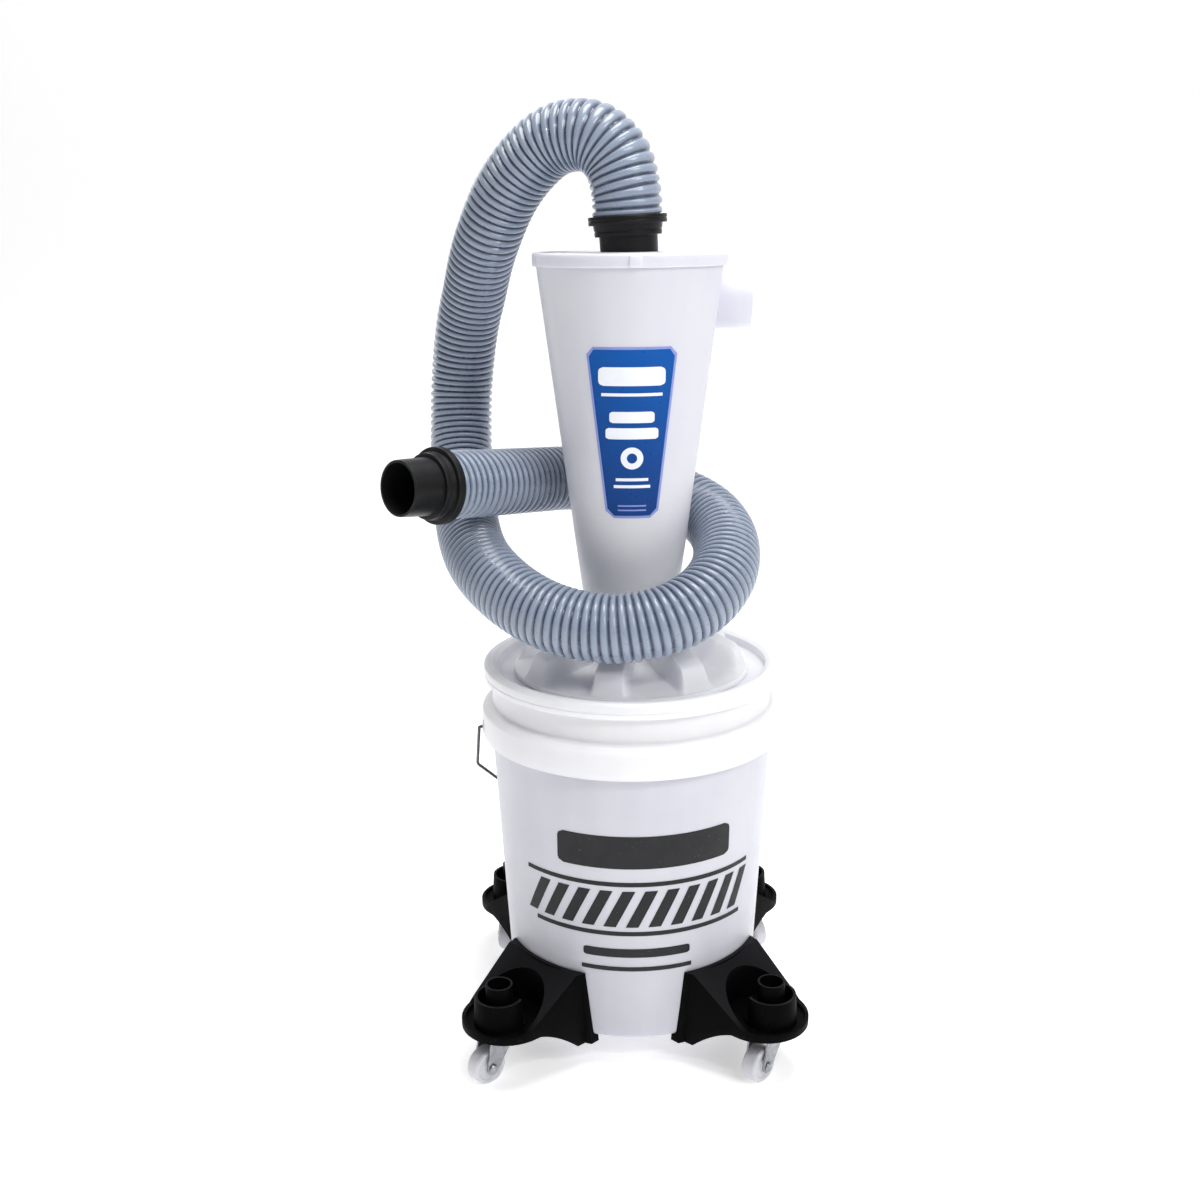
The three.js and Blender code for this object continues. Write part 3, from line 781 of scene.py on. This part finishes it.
def build_sticker():
    bottom, top = 572, 741
    plain = on_cone(cone_radius, 0.2)
    film = on_cone(cone_radius, 0.32)

    def half(z):
        return 26 + (z - bottom) * (20.5 / (top - bottom))

    def tapered(low_z, high_z, inset, corner, count=24):
        rows = []
        for i in range(count + 1):
            z = low_z + (high_z - low_z) * i / count
            edge = min(z - low_z, high_z - z)
            round_off = 0.0
            if edge < corner:
                round_off = corner - math.sqrt(max(0, corner**2 - (corner - edge) ** 2))
            side = half(z) - inset - round_off
            rows.append((z, -side, side))
        return rows

    def disc(z, radius, squash=1.0, across=0.0, count=20):
        rows = []
        for i in range(count + 1):
            rise = math.sin(math.pi * (i / count - 0.5))
            side = radius * math.sqrt(max(0, 1 - rise * rise))
            rows.append((z + rise * radius * squash, across - side, across + side))
        return rows

    def stick(name, rows, wrap, material):
        patch(f"sticker_{name}", rows, wrap, material, "separator", "black_plastic")

    stick("edge", tapered(bottom, top, 0, 8), plain, BLUE_FILM)
    stick("field", tapered(bottom + 2.5, top - 2.5, 2.5, 6), film, FILM)
    lifted = on_cone(cone_radius, 0.45)
    stick("title", bar_rows(704, 722, -33, 33, corner=5, count=14), lifted, PALE_FILM)
    stick("rule_1", bar_rows(694, 697, -30, 30), lifted, PALE_FILM)
    stick("line_1", bar_rows(668, 679, -22, 22, corner=3), lifted, PALE_FILM)
    stick("line_2", bar_rows(652, 663, -26, 26, corner=3), lifted, PALE_FILM)
    stick("disc", disc(633, 11), lifted, PALE_FILM)
    stick("dot", disc(633, 5), on_cone(cone_radius, 0.58), FILM)
    stick("line_3", bar_rows(610, 613, -16, 16), lifted, PALE_FILM)
    stick("line_4", bar_rows(603, 606, -18, 18), lifted, PALE_FILM)
    stick("line_5", bar_rows(584, 585.5, -14, 14), lifted, BLUE_FILM)
    stick("line_6", bar_rows(579.5, 581, -14, 14), lifted, BLUE_FILM)


# ---- Caster feet ----

FOOT_LOW = 26
FOOT_BASE = 57
FOOT_FLOOR = 61
FOOT_HIGH = 108
FOOT_RIM = 64
FOOT_SLOPE = (200, 65)  # where the slope down from the pail meets the lip
FOOT_END = (187, 47)
FOOT_HEEL = (126.6, 52.4)
SADDLE_INNER = 127
RECESS = (190, 41)
POST_R = 14
POST_HIGH = 104
RING_R = 25.5
RING_FLARE = 2
RING_BORE = 22.5
RING_HIGH = 91
RING_OPEN = 10
STEM_BORE = 5.5
WELL_R = 12
WELL_FLOOR = 87
SCREW_Z = 80
SCREW_AZIMUTH = 12  # degrees to each side of the foot's middle
ABOVE = 130  # a height clear of every foot


def foot_object():
    end_x, end_r = FOOT_END
    heel_x, heel_y = FOOT_HEEL
    to_heel = math.atan2(heel_y, heel_x - end_x)
    tangent = math.degrees(to_heel - math.acos(end_r / math.hypot(heel_x - end_x, heel_y)))
    plan = [(110, -44), (heel_x, -heel_y)]
    plan += arc((end_x, 0), end_r, -tangent, tangent, 40)
    plan += [(heel_x, heel_y), (110, 44)]
    under = []
    for i in range(13):
        t = i / 12
        x = 136 * (1 - t) ** 2 + 162 * 2 * t * (1 - t) + 184 * t * t
        z = FOOT_LOW * (1 - t) ** 2 + (FOOT_BASE - 7) * 2 * t * (1 - t) + FOOT_BASE * t * t
        under.append((x, z))
    side = [(117, FOOT_LOW)] + under
    side += [(end_x + end_r + 6, FOOT_BASE), (end_x + end_r + 6, FOOT_RIM)]
    side += [FOOT_SLOPE, (137, FOOT_HIGH), (117, FOOT_HIGH)]
    foot = loose(prism_mesh(plan, FOOT_LOW - 5, FOOT_HIGH + 5))
    combine(foot, across_mesh(side, -70, 70), "INTERSECT")

    collar = [
        (SADDLE_INNER, FOOT_LOW),
        (136.5, FOOT_LOW),
        (wall_radius(FOOT_HIGH) + 4.3, FOOT_HIGH),
        (SADDLE_INNER, FOOT_HIGH),
    ]
    saddle = loose(lathe_mesh(collar, 240))
    fins = [(-59, FOOT_LOW), (59, FOOT_LOW), (53.5, FOOT_HIGH), (-53.5, FOOT_HIGH)]
    band_verts, band_faces = across_mesh(fins, -160, -100)
    combine(saddle, (moved(band_verts, about(90)), band_faces), "INTERSECT")
    join(foot, saddle)

    recess_x, recess_r = RECESS
    shift = Matrix.Translation((recess_x * MM, 0, 0))
    recess = lathe_mesh([(0, FOOT_FLOOR), (recess_r, FOOT_FLOOR), (recess_r, ABOVE), (0, ABOVE)], 96)
    cut(foot, (moved(recess[0], shift), recess[1]))
    post = Matrix.Translation((POST_X * MM, 0, 0))

    def at_post(profile, segments=72):
        verts, faces = lathe_mesh(profile, segments)
        return moved(verts, post), faces

    root = FOOT_BASE + 1
    ring_root = RING_R + RING_FLARE
    ring = loose(lathe_mesh([(0, root), (ring_root, root), (RING_R, RING_HIGH), (0, RING_HIGH)], 96))
    inside_low = FOOT_FLOOR + 2
    cut(ring, lathe_mesh([(0, inside_low), (RING_BORE, inside_low), (RING_BORE, ABOVE), (0, ABOVE)], 96))
    gap = [(-40, -35), (-RING_OPEN, -35), (-RING_OPEN, 35), (-40, 35)]
    cut(ring, prism_mesh(gap, inside_low, ABOVE))
    ring.data.transform(post)
    join(foot, ring)
    join(foot, at_post([(0, root), (POST_R, root), (POST_R, POST_HIGH), (0, POST_HIGH)]))
    well = [(0, 40), (STEM_BORE, 40), (STEM_BORE, WELL_FLOOR), (WELL_R, WELL_FLOOR), (WELL_R, ABOVE)]
    cut(foot, at_post(well + [(0, ABOVE)]))
    clearance = [
        (0, PAIL_BASE - 0.3),
        (130.8, PAIL_BASE - 0.3),
        (PAIL_BASE_R + 0.3, PAIL_BASE + 3.2),
        (WALL_R + 0.3, COLLAR_LOW),
        (0, COLLAR_LOW),
    ]
    cut(foot, lathe_mesh(clearance, 240))
    return eased(foot, 1.1, 3)


def build_feet():
    model = foot_object()
    screw = [
        (0, 127.6), (3.2, 127.6, 0.8), (4.5, 129, 0.5), (4.5, 130.9), (2, 130.9), (2, 149), (0, 149),
    ]
    for corner, azimuth in CORNERS.items():
        foot = bpy.data.objects.new(f"foot_{corner}", model.data.copy())
        bpy.context.scene.collection.objects.link(foot)
        foot.data.transform(about(azimuth))
        finished(foot, BLACK, "pail_body", [f"caster_foot_{corner}"])
        for index, side in enumerate((-1, 1)):
            place = (
                Matrix.Translation((0, 0, SCREW_Z * MM))
                @ about(azimuth + side * SCREW_AZIMUTH)
                @ Matrix.Rotation(math.radians(90), 4, "Y")
            )
            name = f"foot_screw_{corner}_{index + 1}"
            lathe(f"{name}_turned", screw, ZINC, "pail_body", [name], "zinc_plate",
                  place=place, segments=24)
        build_caster(corner)
    bpy.data.objects.remove(model)


FORK_TOP = 50.7
FORK_FRONT = 19
ARM_INNER = 10.2
ARM_OUTER = 12.2


def build_caster(corner):
    swivel = Vector(JOINTS[f"swivel_{corner}_turn"]["pos_m"])
    hub = Vector(JOINTS[f"wheel_{corner}_spin"]["pos_m"])
    heading = math.atan2(hub.y - swivel.y, hub.x - swivel.x)
    place = Matrix.Translation((swivel.x, swivel.y, 0)) @ Matrix.Rotation(heading, 4, "Z")
    to_hub = Matrix.Translation((TRAIL * MM, 0, WHEEL_R * MM))
    across = place @ to_hub @ Matrix.Rotation(math.radians(90), 4, "X")

    stem = [
        (0, 45.2), (6.4, 45.2, 1), (6.8, 47.7, 0.8), (4, 47.7), (4, 51), (11, 51, 0.4),
        (12.5, 52.7, 1), (12.5, 56.7, 0.6), (5, 56.7, 0.3), (5, 85, 0.8), (4, 86, 0.5), (0, 86),
    ]
    lathe(f"stem_{corner}", stem, ZINC, "pail_body", [f"caster_stem_{corner}"], "zinc_plate",
          place=place, segments=40)

    arm = [(-8, FORK_TOP), (-8, FORK_TOP - 6)] + arc((TRAIL, WHEEL_R), 7, 205, 385, 20)
    arm.append((FORK_FRONT, FORK_TOP))
    plate = arc((0, 0), 14, 119, 241, 20) + [(FORK_FRONT, -ARM_OUTER), (FORK_FRONT, ARM_OUTER)]
    fork = loose(prism_mesh(plate, 48, FORK_TOP))
    join(fork, across_mesh(arm, ARM_INNER, ARM_OUTER))
    join(fork, across_mesh(arm, -ARM_OUTER, -ARM_INNER))
    cut(fork, lathe_mesh([(0, 30), (4.8, 30), (4.8, 60), (0, 60)], 32))
    eased(fork, 0.7, 3)
    fork.data.transform(place)
    finished(fork, ZINC, f"swivel_{corner}", [f"caster_fork_{corner}"])
    fork.name = f"fork_{corner}"

    head = 12.5
    axle = [
        (0, -head - 2.2), (3.6, -head - 2, 1), (5, -head - 0.9, 0.6), (5, -head, 0.2), (3, -head),
        (3, head), (5, head, 0.2), (5, head + 0.9, 0.6), (3.6, head + 2, 1), (0, head + 2.2),
    ]
    lathe(f"axle_{corner}", axle, ZINC, f"swivel_{corner}", [f"caster_axle_{corner}"],
          "zinc_plate", place=across, segments=40)

    half = [
        (3.3, 9.7), (7.2, 9.7, 0.6), (7.4, 7.2, 0.8), (13.2, 6.9, 0.8), (14.8, 8.5, 0.7),
        (17.2, 8.5, 1.4), (19, 6.2, 1.8),
    ]
    profile = [(r, -h, *rest) for r, h, *rest in half] + half[::-1]
    lathe(f"wheel_{corner}_turned", profile, NYLON, f"wheel_{corner}", [f"caster_wheel_{corner}"],
          "wheel_nylon", place=across, segments=72)


# ---- Bail ----


def build_bail():
    shoulder = GRIP_HALF + 35
    half = [(152, 0, 0), (BAIL_HALF, 0, 3.6), (BAIL_HALF, BAIL_LEG, 20), (shoulder, BAIL_REACH, 54)]
    corners = half + [(-u, w, radius) for u, w, radius in reversed(half)]
    flat = filleted(corners, False, 10)
    dense = []
    for start, end in zip(flat, flat[1:]):
        parts = max(1, int((end - start).length / 6))
        dense += [start.lerp(end, i / parts) for i in range(parts)]
    dense.append(flat[-1])
    turn = Matrix.Translation((0, 0, BAIL_Z * MM)) @ Matrix.Rotation(BAIL_YAW, 4, "Z")

    def hang(u, w):
        return turn @ (Vector((u, w * math.sin(BAIL_HANG), -w * math.cos(BAIL_HANG))) * MM)

    verts, faces = tube_mesh([hang(*point) for point in dense], 1.7 * MM, 20)
    piece("bail_rod", verts, faces, WIRE, "bail", ["bail_wire"], "dark_wire")
    grip = [(2, -GRIP_HALF), (8.5, -GRIP_HALF, 1)]
    for i in range(9):
        middle = -GRIP_HALF + 7 + i * 10
        grip += [(10.4, middle - 3.4, 1), (10.4, middle + 3.4, 1), (9.3, middle + 4.4, 0.4)]
        grip += [(9.3, middle + 5.6, 0.4)] if i < 8 else []
    grip += [(8.5, GRIP_HALF, 1), (2, GRIP_HALF)]
    place = Matrix.Translation(hang(0, BAIL_REACH)) @ Matrix.Rotation(BAIL_YAW, 4, "Z")
    lathe("bail_grip_turned", grip, BLACK, "bail", ["bail_grip"], "black_plastic",
          place=place @ Matrix.Rotation(math.radians(90), 4, "Y"), segments=40)


# ---- Lid ----


def build_lid():
    plug = NECK_R - PAIL_WALL - 0.7
    sheet = 2.4
    corners = [
        (38, LID_PANEL - sheet, 0.5),
        (plug, LID_PANEL - sheet, 1.5),
        (plug, LID_TOP - sheet, 1),
        (LID_R - 2.6, LID_TOP - sheet, 1),
        (LID_R - 2.6, LID_TOP - 16, 0.5),
        (LID_R, LID_TOP - 16, 0.8),
        (LID_R, LID_TOP - 11.2, 0.3),
        (LID_R - 0.7, LID_TOP - 10.9, 0.3),
        (LID_R - 0.7, LID_TOP - 10.1, 0.3),
        (LID_R, LID_TOP - 9.8, 0.3),
        (LID_R, LID_TOP - 2.5, 2.4),
        (LID_R - 3.2, LID_TOP, 2.2),
        (LID_R - 9, LID_TOP, 2.2),
        (plug - 2.4, LID_TOP - 3, 1.4),
        (plug - 2.4, LID_PANEL, 2),
        (38, LID_PANEL, 0.5),
    ]
    lathe("lid_shell", corners, LID_PLASTIC, "separator", ["pail_lid"], "natural_plastic",
          segments=180)
    seal = [
        (NECK_R - 2, PAIL_TOP + 0.3, 1), (NECK_R + 2.5, PAIL_TOP + 0.3, 1),
        (NECK_R + 2.5, PAIL_TOP + 3.3, 1), (NECK_R - 2, PAIL_TOP + 3.3, 1),
    ]
    lathe("lid_seal_ring", seal, FOAM, "separator", ["lid_seal"], "foam_rubber")


# ---- Cyclone ----


def along_inlet():
    return (
        Matrix.Translation((0, INLET_Y * MM, INLET_Z * MM))
        @ Matrix.Rotation(math.radians(90), 4, "Y")
    )


def smooth(value):
    value = min(1.0, max(0.0, value))
    return value * value * (3 - 2 * value)


def valley_profile():
    """The base between two lobes, from the cone outwards, as even steps of a filleted outline."""
    outline = [(cone_radius(LOBE_TOP + 8), LOBE_TOP + 8), (cone_radius(424), 424, 16), (60, 415.5, 8),
               (LOBE_SHOULDER_R, FLANGE_LOW + 7), (FLANGE_R - 2.5, FLANGE_LOW + 4)]
    return even_steps(filleted(outline, False, 8), LOBE_ROWS)


def crest_profile():
    """The middle of a lobe: a slope down from the cone, a shoulder and a steep nose."""
    outline = [
        (cone_radius(LOBE_TOP + 8), LOBE_TOP + 8), (cone_radius(LOBE_TOP) + 1, LOBE_TOP - 1, 6),
        (LOBE_SHOULDER_R, 427, 9), (120.5, FLANGE_LOW + 4.6, 2.5),
        (FLANGE_R - 2.5, FLANGE_LOW + 4),
    ]
    return even_steps(filleted(outline, False, 8), LOBE_ROWS)


def lobed_shell():
    """The outside of the cone, its lobed base and its flange, as one closed mesh."""
    columns = LOBES * 64
    valley = valley_profile()
    crest = crest_profile()
    head = [(0, CONE_TOP), (CONE_HIGH_R, CONE_TOP), (CONE_HIGH_R, CONE_HIGH + 2)]
    head += [(cone_radius(z), z) for z in range(CONE_HIGH - 4, LOBE_TOP + 20, -24)]
    lip_low = LID_PANEL + 0.5  # the flange's lip hides the seal
    foot = filleted(
        [(FLANGE_R - 2.5, FLANGE_LOW + 4), (FLANGE_R, FLANGE_LOW + 4, 2.2), (FLANGE_R, lip_low, 0.3),
         (FLANGE_R - 2.5, lip_low), (FLANGE_R - 2.5, FLANGE_LOW),
         (cone_radius(FLANGE_LOW), FLANGE_LOW), (0, FLANGE_LOW)], False, 3,
    )[1:]
    verts, rows = [], []
    for radius, height in head:
        rows.append([(radius, height)] * columns)
    for hollow, ridge in zip(valley, crest):
        row = []
        for j in range(columns):
            across = abs(((j / columns * LOBES + 0.5) % 1) - 0.5) * 2 * math.pi / LOBES
            aside = ridge.x * math.sin(across)
            rise = max(1.0, ridge.y - hollow.y)
            half = LOBE_HALF - 0.1 * rise
            lift = 1 - smooth((aside - half + 4.5) / LOBE_FLANK)
            point = hollow.lerp(ridge, lift)
            row.append((point.x, point.y))
        rows.append(row)
    for radius, height in foot:
        rows.append([(radius, height)] * columns)
    rings = []
    for row in rows:
        if row[0][0] < 1e-9:
            rings.append([len(verts)] * columns)
            verts.append(Vector((0, 0, row[0][1])) * MM)
            continue
        rings.append(list(range(len(verts), len(verts) + columns)))
        for j, (radius, height) in enumerate(row):
            angle = math.radians(FIRST_LOBE) + 2 * math.pi * j / columns
            verts.append(Vector((radius * math.cos(angle), radius * math.sin(angle), height)) * MM)
    faces = []
    for ring, following in zip(rings, rings[1:]):
        for j in range(columns):
            k = (j + 1) % columns
            face = list(dict.fromkeys([following[j], following[k], ring[k], ring[j]]))
            if len(face) > 2:
                faces.append(face)
    return verts, faces


def build_cyclone():
    inside = [
        (0, FLANGE_LOW - 5),
        (cone_radius(FLANGE_LOW - 5) - CONE_WALL, FLANGE_LOW - 5),
        (CONE_HIGH_R - CONE_WALL, CONE_HIGH),
        (CONE_HIGH_R - CONE_WALL, CONE_TOP + 5),
        (0, CONE_TOP + 5),
    ]
    cone = loose(lobed_shell())
    bore = INLET_R - INLET_WALL
    pipe = [
        (0, 0), (INLET_R, 0), (INLET_R, INLET_END, 0.8),
        (bore, INLET_END, 0.6), (bore, INLET_END - 4), (0, INLET_END - 4),
    ]
    verts, faces = lathe_mesh(pipe, 96)
    join(cone, (moved(verts, along_inlet()), faces))
    cut(cone, lathe_mesh(inside, 180))
    verts, faces = lathe_mesh([(0, 2), (bore, 2), (bore, INLET_END + 5), (0, INLET_END + 5)], 96)
    cut(cone, (moved(verts, along_inlet()), faces))
    finished(cone, CONE_PLASTIC, "separator", ["cyclone_cone"])
    cone.name = "cyclone_shell"

    seal_high = FLANGE_LOW - 0.3
    seal_r = FLANGE_R - 4
    seal = [(46, LID_PANEL + 0.3, 0.4), (seal_r, LID_PANEL + 0.3, 0.4),
            (seal_r, seal_high, 0.4), (46, seal_high, 0.4)]
    lathe("flange_seal_ring", seal, FOAM, "separator", ["flange_seal"], "foam_rubber")
    for i in range(LOBES):
        build_bolt(i)


def build_bolt(i):
    """A flanged hexagon bolt, up through the lid into a lobe of the base."""
    azimuth = FIRST_LOBE + 360 / LOBES * i
    name = f"flange_bolt_{i + 1}"
    head_low = low(name)
    seat = head_low + 4
    bolt = loose(prism_mesh(arc((0, 0), 5.4, 0, 300, 5), head_low, seat - 1))
    join(bolt, lathe_mesh([(0, seat - 1), (6.2, seat - 1), (6.2, seat), (0, seat)], 40))
    join(bolt, lathe_mesh([(0, seat - 2), (3, seat - 2), (3, high(name), 0.8), (0, high(name))], 24))
    eased(bolt, 0.4, 2)
    bolt.data.transform(about(azimuth) @ Matrix.Translation((BOLT_CIRCLE * MM, 0, 0)))
    finished(bolt, ZINC, "separator", [name]).name = f"bolt_{i + 1}"


def build_cap():
    plate = CAP_TOP - 3
    corners = [
        (29.6, 795, 0.6),
        (32.2, 795, 0.6),
        (32.2, plate, 1.5),
        (CONE_HIGH_R + 0.6, plate, 1),
        (CONE_HIGH_R + 0.6, CAP_TOP - 13, 0.5),
        (CAP_R - 0.2, CAP_TOP - 13, 1),
        (CAP_R, CAP_TOP - 1.5, 1.6),
        (CAP_R - 1.5, CAP_TOP, 1.2),
        (CAP_R - 5, CAP_TOP, 0.6),
        (CAP_R - 6, CAP_TOP - 1, 0.6),
        (36, CAP_TOP - 1, 0.6),
        (35, CAP_TOP, 0.6),
        (29.6, CAP_TOP, 0.8),
    ]
    cap = loose(lathe_mesh(corners, 180))
    tab = prism_mesh([(-2.5, -98.4), (9.5, -98.4), (9.5, -94.8), (-2.5, -94.8)],
                     CAP_TOP - 12.5, CAP_TOP - 1.5)
    tab_object = eased(loose(tab), 0.9, 3)
    join(cap, tab_object)
    finished(cap, CONE_PLASTIC, "separator", ["cyclone_cap"])
    cap.name = "cap_shell"
    bore = VORTEX_R - 2
    tube = [(bore, VORTEX_LOW, 0.6), (VORTEX_R, VORTEX_LOW, 0.6),
            (VORTEX_R, VORTEX_HIGH, 0.6), (bore, VORTEX_HIGH, 0.6)]
    lathe("vortex_tube_turned", tube, CONE_PLASTIC, "separator", ["vortex_tube"], "natural_plastic",
          segments=96)


# ---- Hose ----


def spline(points, spacing):
    """The curve of the CAD hose: uniform Catmull-Rom with reflected end points."""
    points = [Vector(p) for p in points]
    points = [points[0] * 2 - points[1]] + points + [points[-1] * 2 - points[-2]]
    dense = []
    for p0, p1, p2, p3 in zip(points, points[1:], points[2:], points[3:]):
        for i in range(40):
            t = i / 40
            dense.append(
                0.5 * (
                    2 * p1 + (p2 - p0) * t + (2 * p0 - 5 * p1 + 4 * p2 - p3) * t**2
                    + (3 * p1 - p0 - 3 * p2 + p3) * t**3
                )
            )
    dense.append(points[-2])
    length = sum((end - start).length for start, end in zip(dense, dense[1:]))
    return dense, even_steps(dense, round(length / spacing)), length


def build_hose():
    sides = 80
    per_rib = 12
    curve, points, length = spline(HOSE_ROUTE, RIB_PITCH / per_rib)
    frames = ring_frames(points)
    step = length / (len(points) - 1)
    verts, ribs = [], []
    for i, (point, (_, side, up)) in enumerate(zip(points, frames)):
        for j in range(sides):
            rise = rib_height((i * step / RIB_PITCH - j / sides) % 1.0)
            radius = CREST_R - RIB_DEPTH * (1 - rise)
            verts.append(round_point(point, side, up, j / sides, radius) * MM)
            ribs.append(rise)
    faces = tube_sides(len(points), sides)
    outer = len(verts)
    for point, (_, side, up) in zip(points[::8] + [points[-1]], frames[::8] + [frames[-1]]):
        for j in range(sides):
            verts.append(round_point(point, side, up, j / sides, HOSE_BORE) * MM)
            ribs.append(BORE_RIB)
    bore_rings = (len(verts) - outer) // sides
    faces += [[outer + v for v in face[::-1]] for face in tube_sides(bore_rings, sides)]
    for first, second, flip in ((0, outer, True), (outer - sides, len(verts) - sides, False)):
        for j in range(sides):
            k = (j + 1) % sides
            face = [first + j, first + k, second + k, second + j]
            faces.append(face[::-1] if flip else face)
    hose = piece("hose_ribbed", verts, faces, VINYL, "separator", ["hose"], "hose_vinyl")
    layer = hose.data.attributes.new("rib", "FLOAT", "POINT")
    layer.data.foreach_set("value", ribs)
    return hose, [point * MM for point in even_steps(curve, PATH_STEPS)], length * MM


def rib_height(phase):
    """A broad rounded rib, and a narrow groove where two turns meet."""
    from_groove = min(phase, 1 - phase)
    return (1 - math.exp(-((from_groove / 0.19) ** 2))) * (0.9 + 0.1 * math.sin(math.pi * phase))


def cuff_profile():
    return [
        (25.2, 0, 0.5), (27.7, 0, 1), (28.3, 12), (28.8, 34.7, 0.4), (33.0, 34.7, 0.8),
        (33.4, 38.6, 0.3), (32.9, 39.0, 0.3), (33.0, 40.4, 0.3), (33.6, 40.8, 0.3),
        (34.2, 45.7, 0.3), (38.5, 45.7, 0.8), (38.9, 48.6, 0.3), (38.4, 49.0, 0.3),
        (38.4, 50.6, 0.3), (38.9, 51.0, 0.3), (38.7, 54, 1), (34.6, 54, 0.8),
        (34.6, 47.5), (29.5, 47.5, 0.5), (26, 36),
    ]


def build_cuffs():
    outlet = (
        Matrix.Translation(Vector(CUFF_PIVOT) * MM)
        @ Matrix.Rotation(CUFF_TILT, 4, "Y")
        @ Matrix.Translation((0, 0, -10 * MM))
    )
    axis = Vector(FREE_AXIS).normalized()
    lean = Vector((0, 0, 1)).rotation_difference(axis).to_matrix().to_4x4()
    free = Matrix.Translation(Vector(FREE_MOUTH) * MM) @ lean
    made = []
    for name, place in (("outlet_cuff", outlet), ("free_cuff", free)):
        made.append(lathe(f"{name}_turned", cuff_profile(), CUFF_BLACK, "separator", [name],
                          "black_plastic", place=place, segments=120))
    return made


# ---- Stage ----


BEND_Y = 2.6  # in metres, as the rest of the stage
BEND_R = 2.4
WORLD_STRENGTH = 0.32
AIM = Vector((0, 0, 0.45))  # what every light points at


def build_stage():
    paint = floor_paint("floor_paint")
    profile = [(-6.0, 0.0), (BEND_Y, 0.0)]
    for i in range(1, 25):
        angle = math.radians(90 * i / 24)
        profile.append((BEND_Y + BEND_R * math.sin(angle), BEND_R - BEND_R * math.cos(angle)))
    profile.append((BEND_Y + BEND_R, 8.0))
    verts, faces = [], []
    for y, z in profile:
        verts += [Vector((-9, y, z)), Vector((9, y, z))]
    for i in range(len(profile) - 1):
        faces.append([2 * i, 2 * i + 1, 2 * i + 3, 2 * i + 2])
    sweep = piece("backdrop", verts, faces, paint)
    lights = [
        ("key", (2.0, -2.0, 2.3), 1.3, 36),
        ("fill", (-2.4, -1.8, 1.4), 1.6, 1),
        ("top", (0.2, -0.1, 3.2), 1.8, 66),
        ("spark", (0.9, -1.9, 2.4), 0.14, 9),
        ("back", (-1.2, 2.2, 2.4), 1.8, 12),
    ]
    for name, at, size, power in lights:
        data = bpy.data.lights.new(name, "AREA")
        data.shape = "DISK"
        data.size = size
        data.energy = power
        light = bpy.data.objects.new(name, data)
        bpy.context.scene.collection.objects.link(light)
        light.location = at
        aim = AIM - Vector(at)
        light.rotation_euler = aim.to_track_quat("-Z", "Y").to_euler()
    world = bpy.data.worlds.new("studio")
    world.use_nodes = True
    background = world.node_tree.nodes["Background"]
    background.inputs["Color"].default_value = (1, 1, 1, 1)
    background.inputs["Strength"].default_value = WORLD_STRENGTH
    bpy.context.scene.world = world


hose, hose_path, hose_length = build_hose()
cuffs = build_cuffs()
build_pail()
build_print()
build_feet()
build_bail()
build_lid()
build_cyclone()
build_sticker()
build_cap()
build_stage()
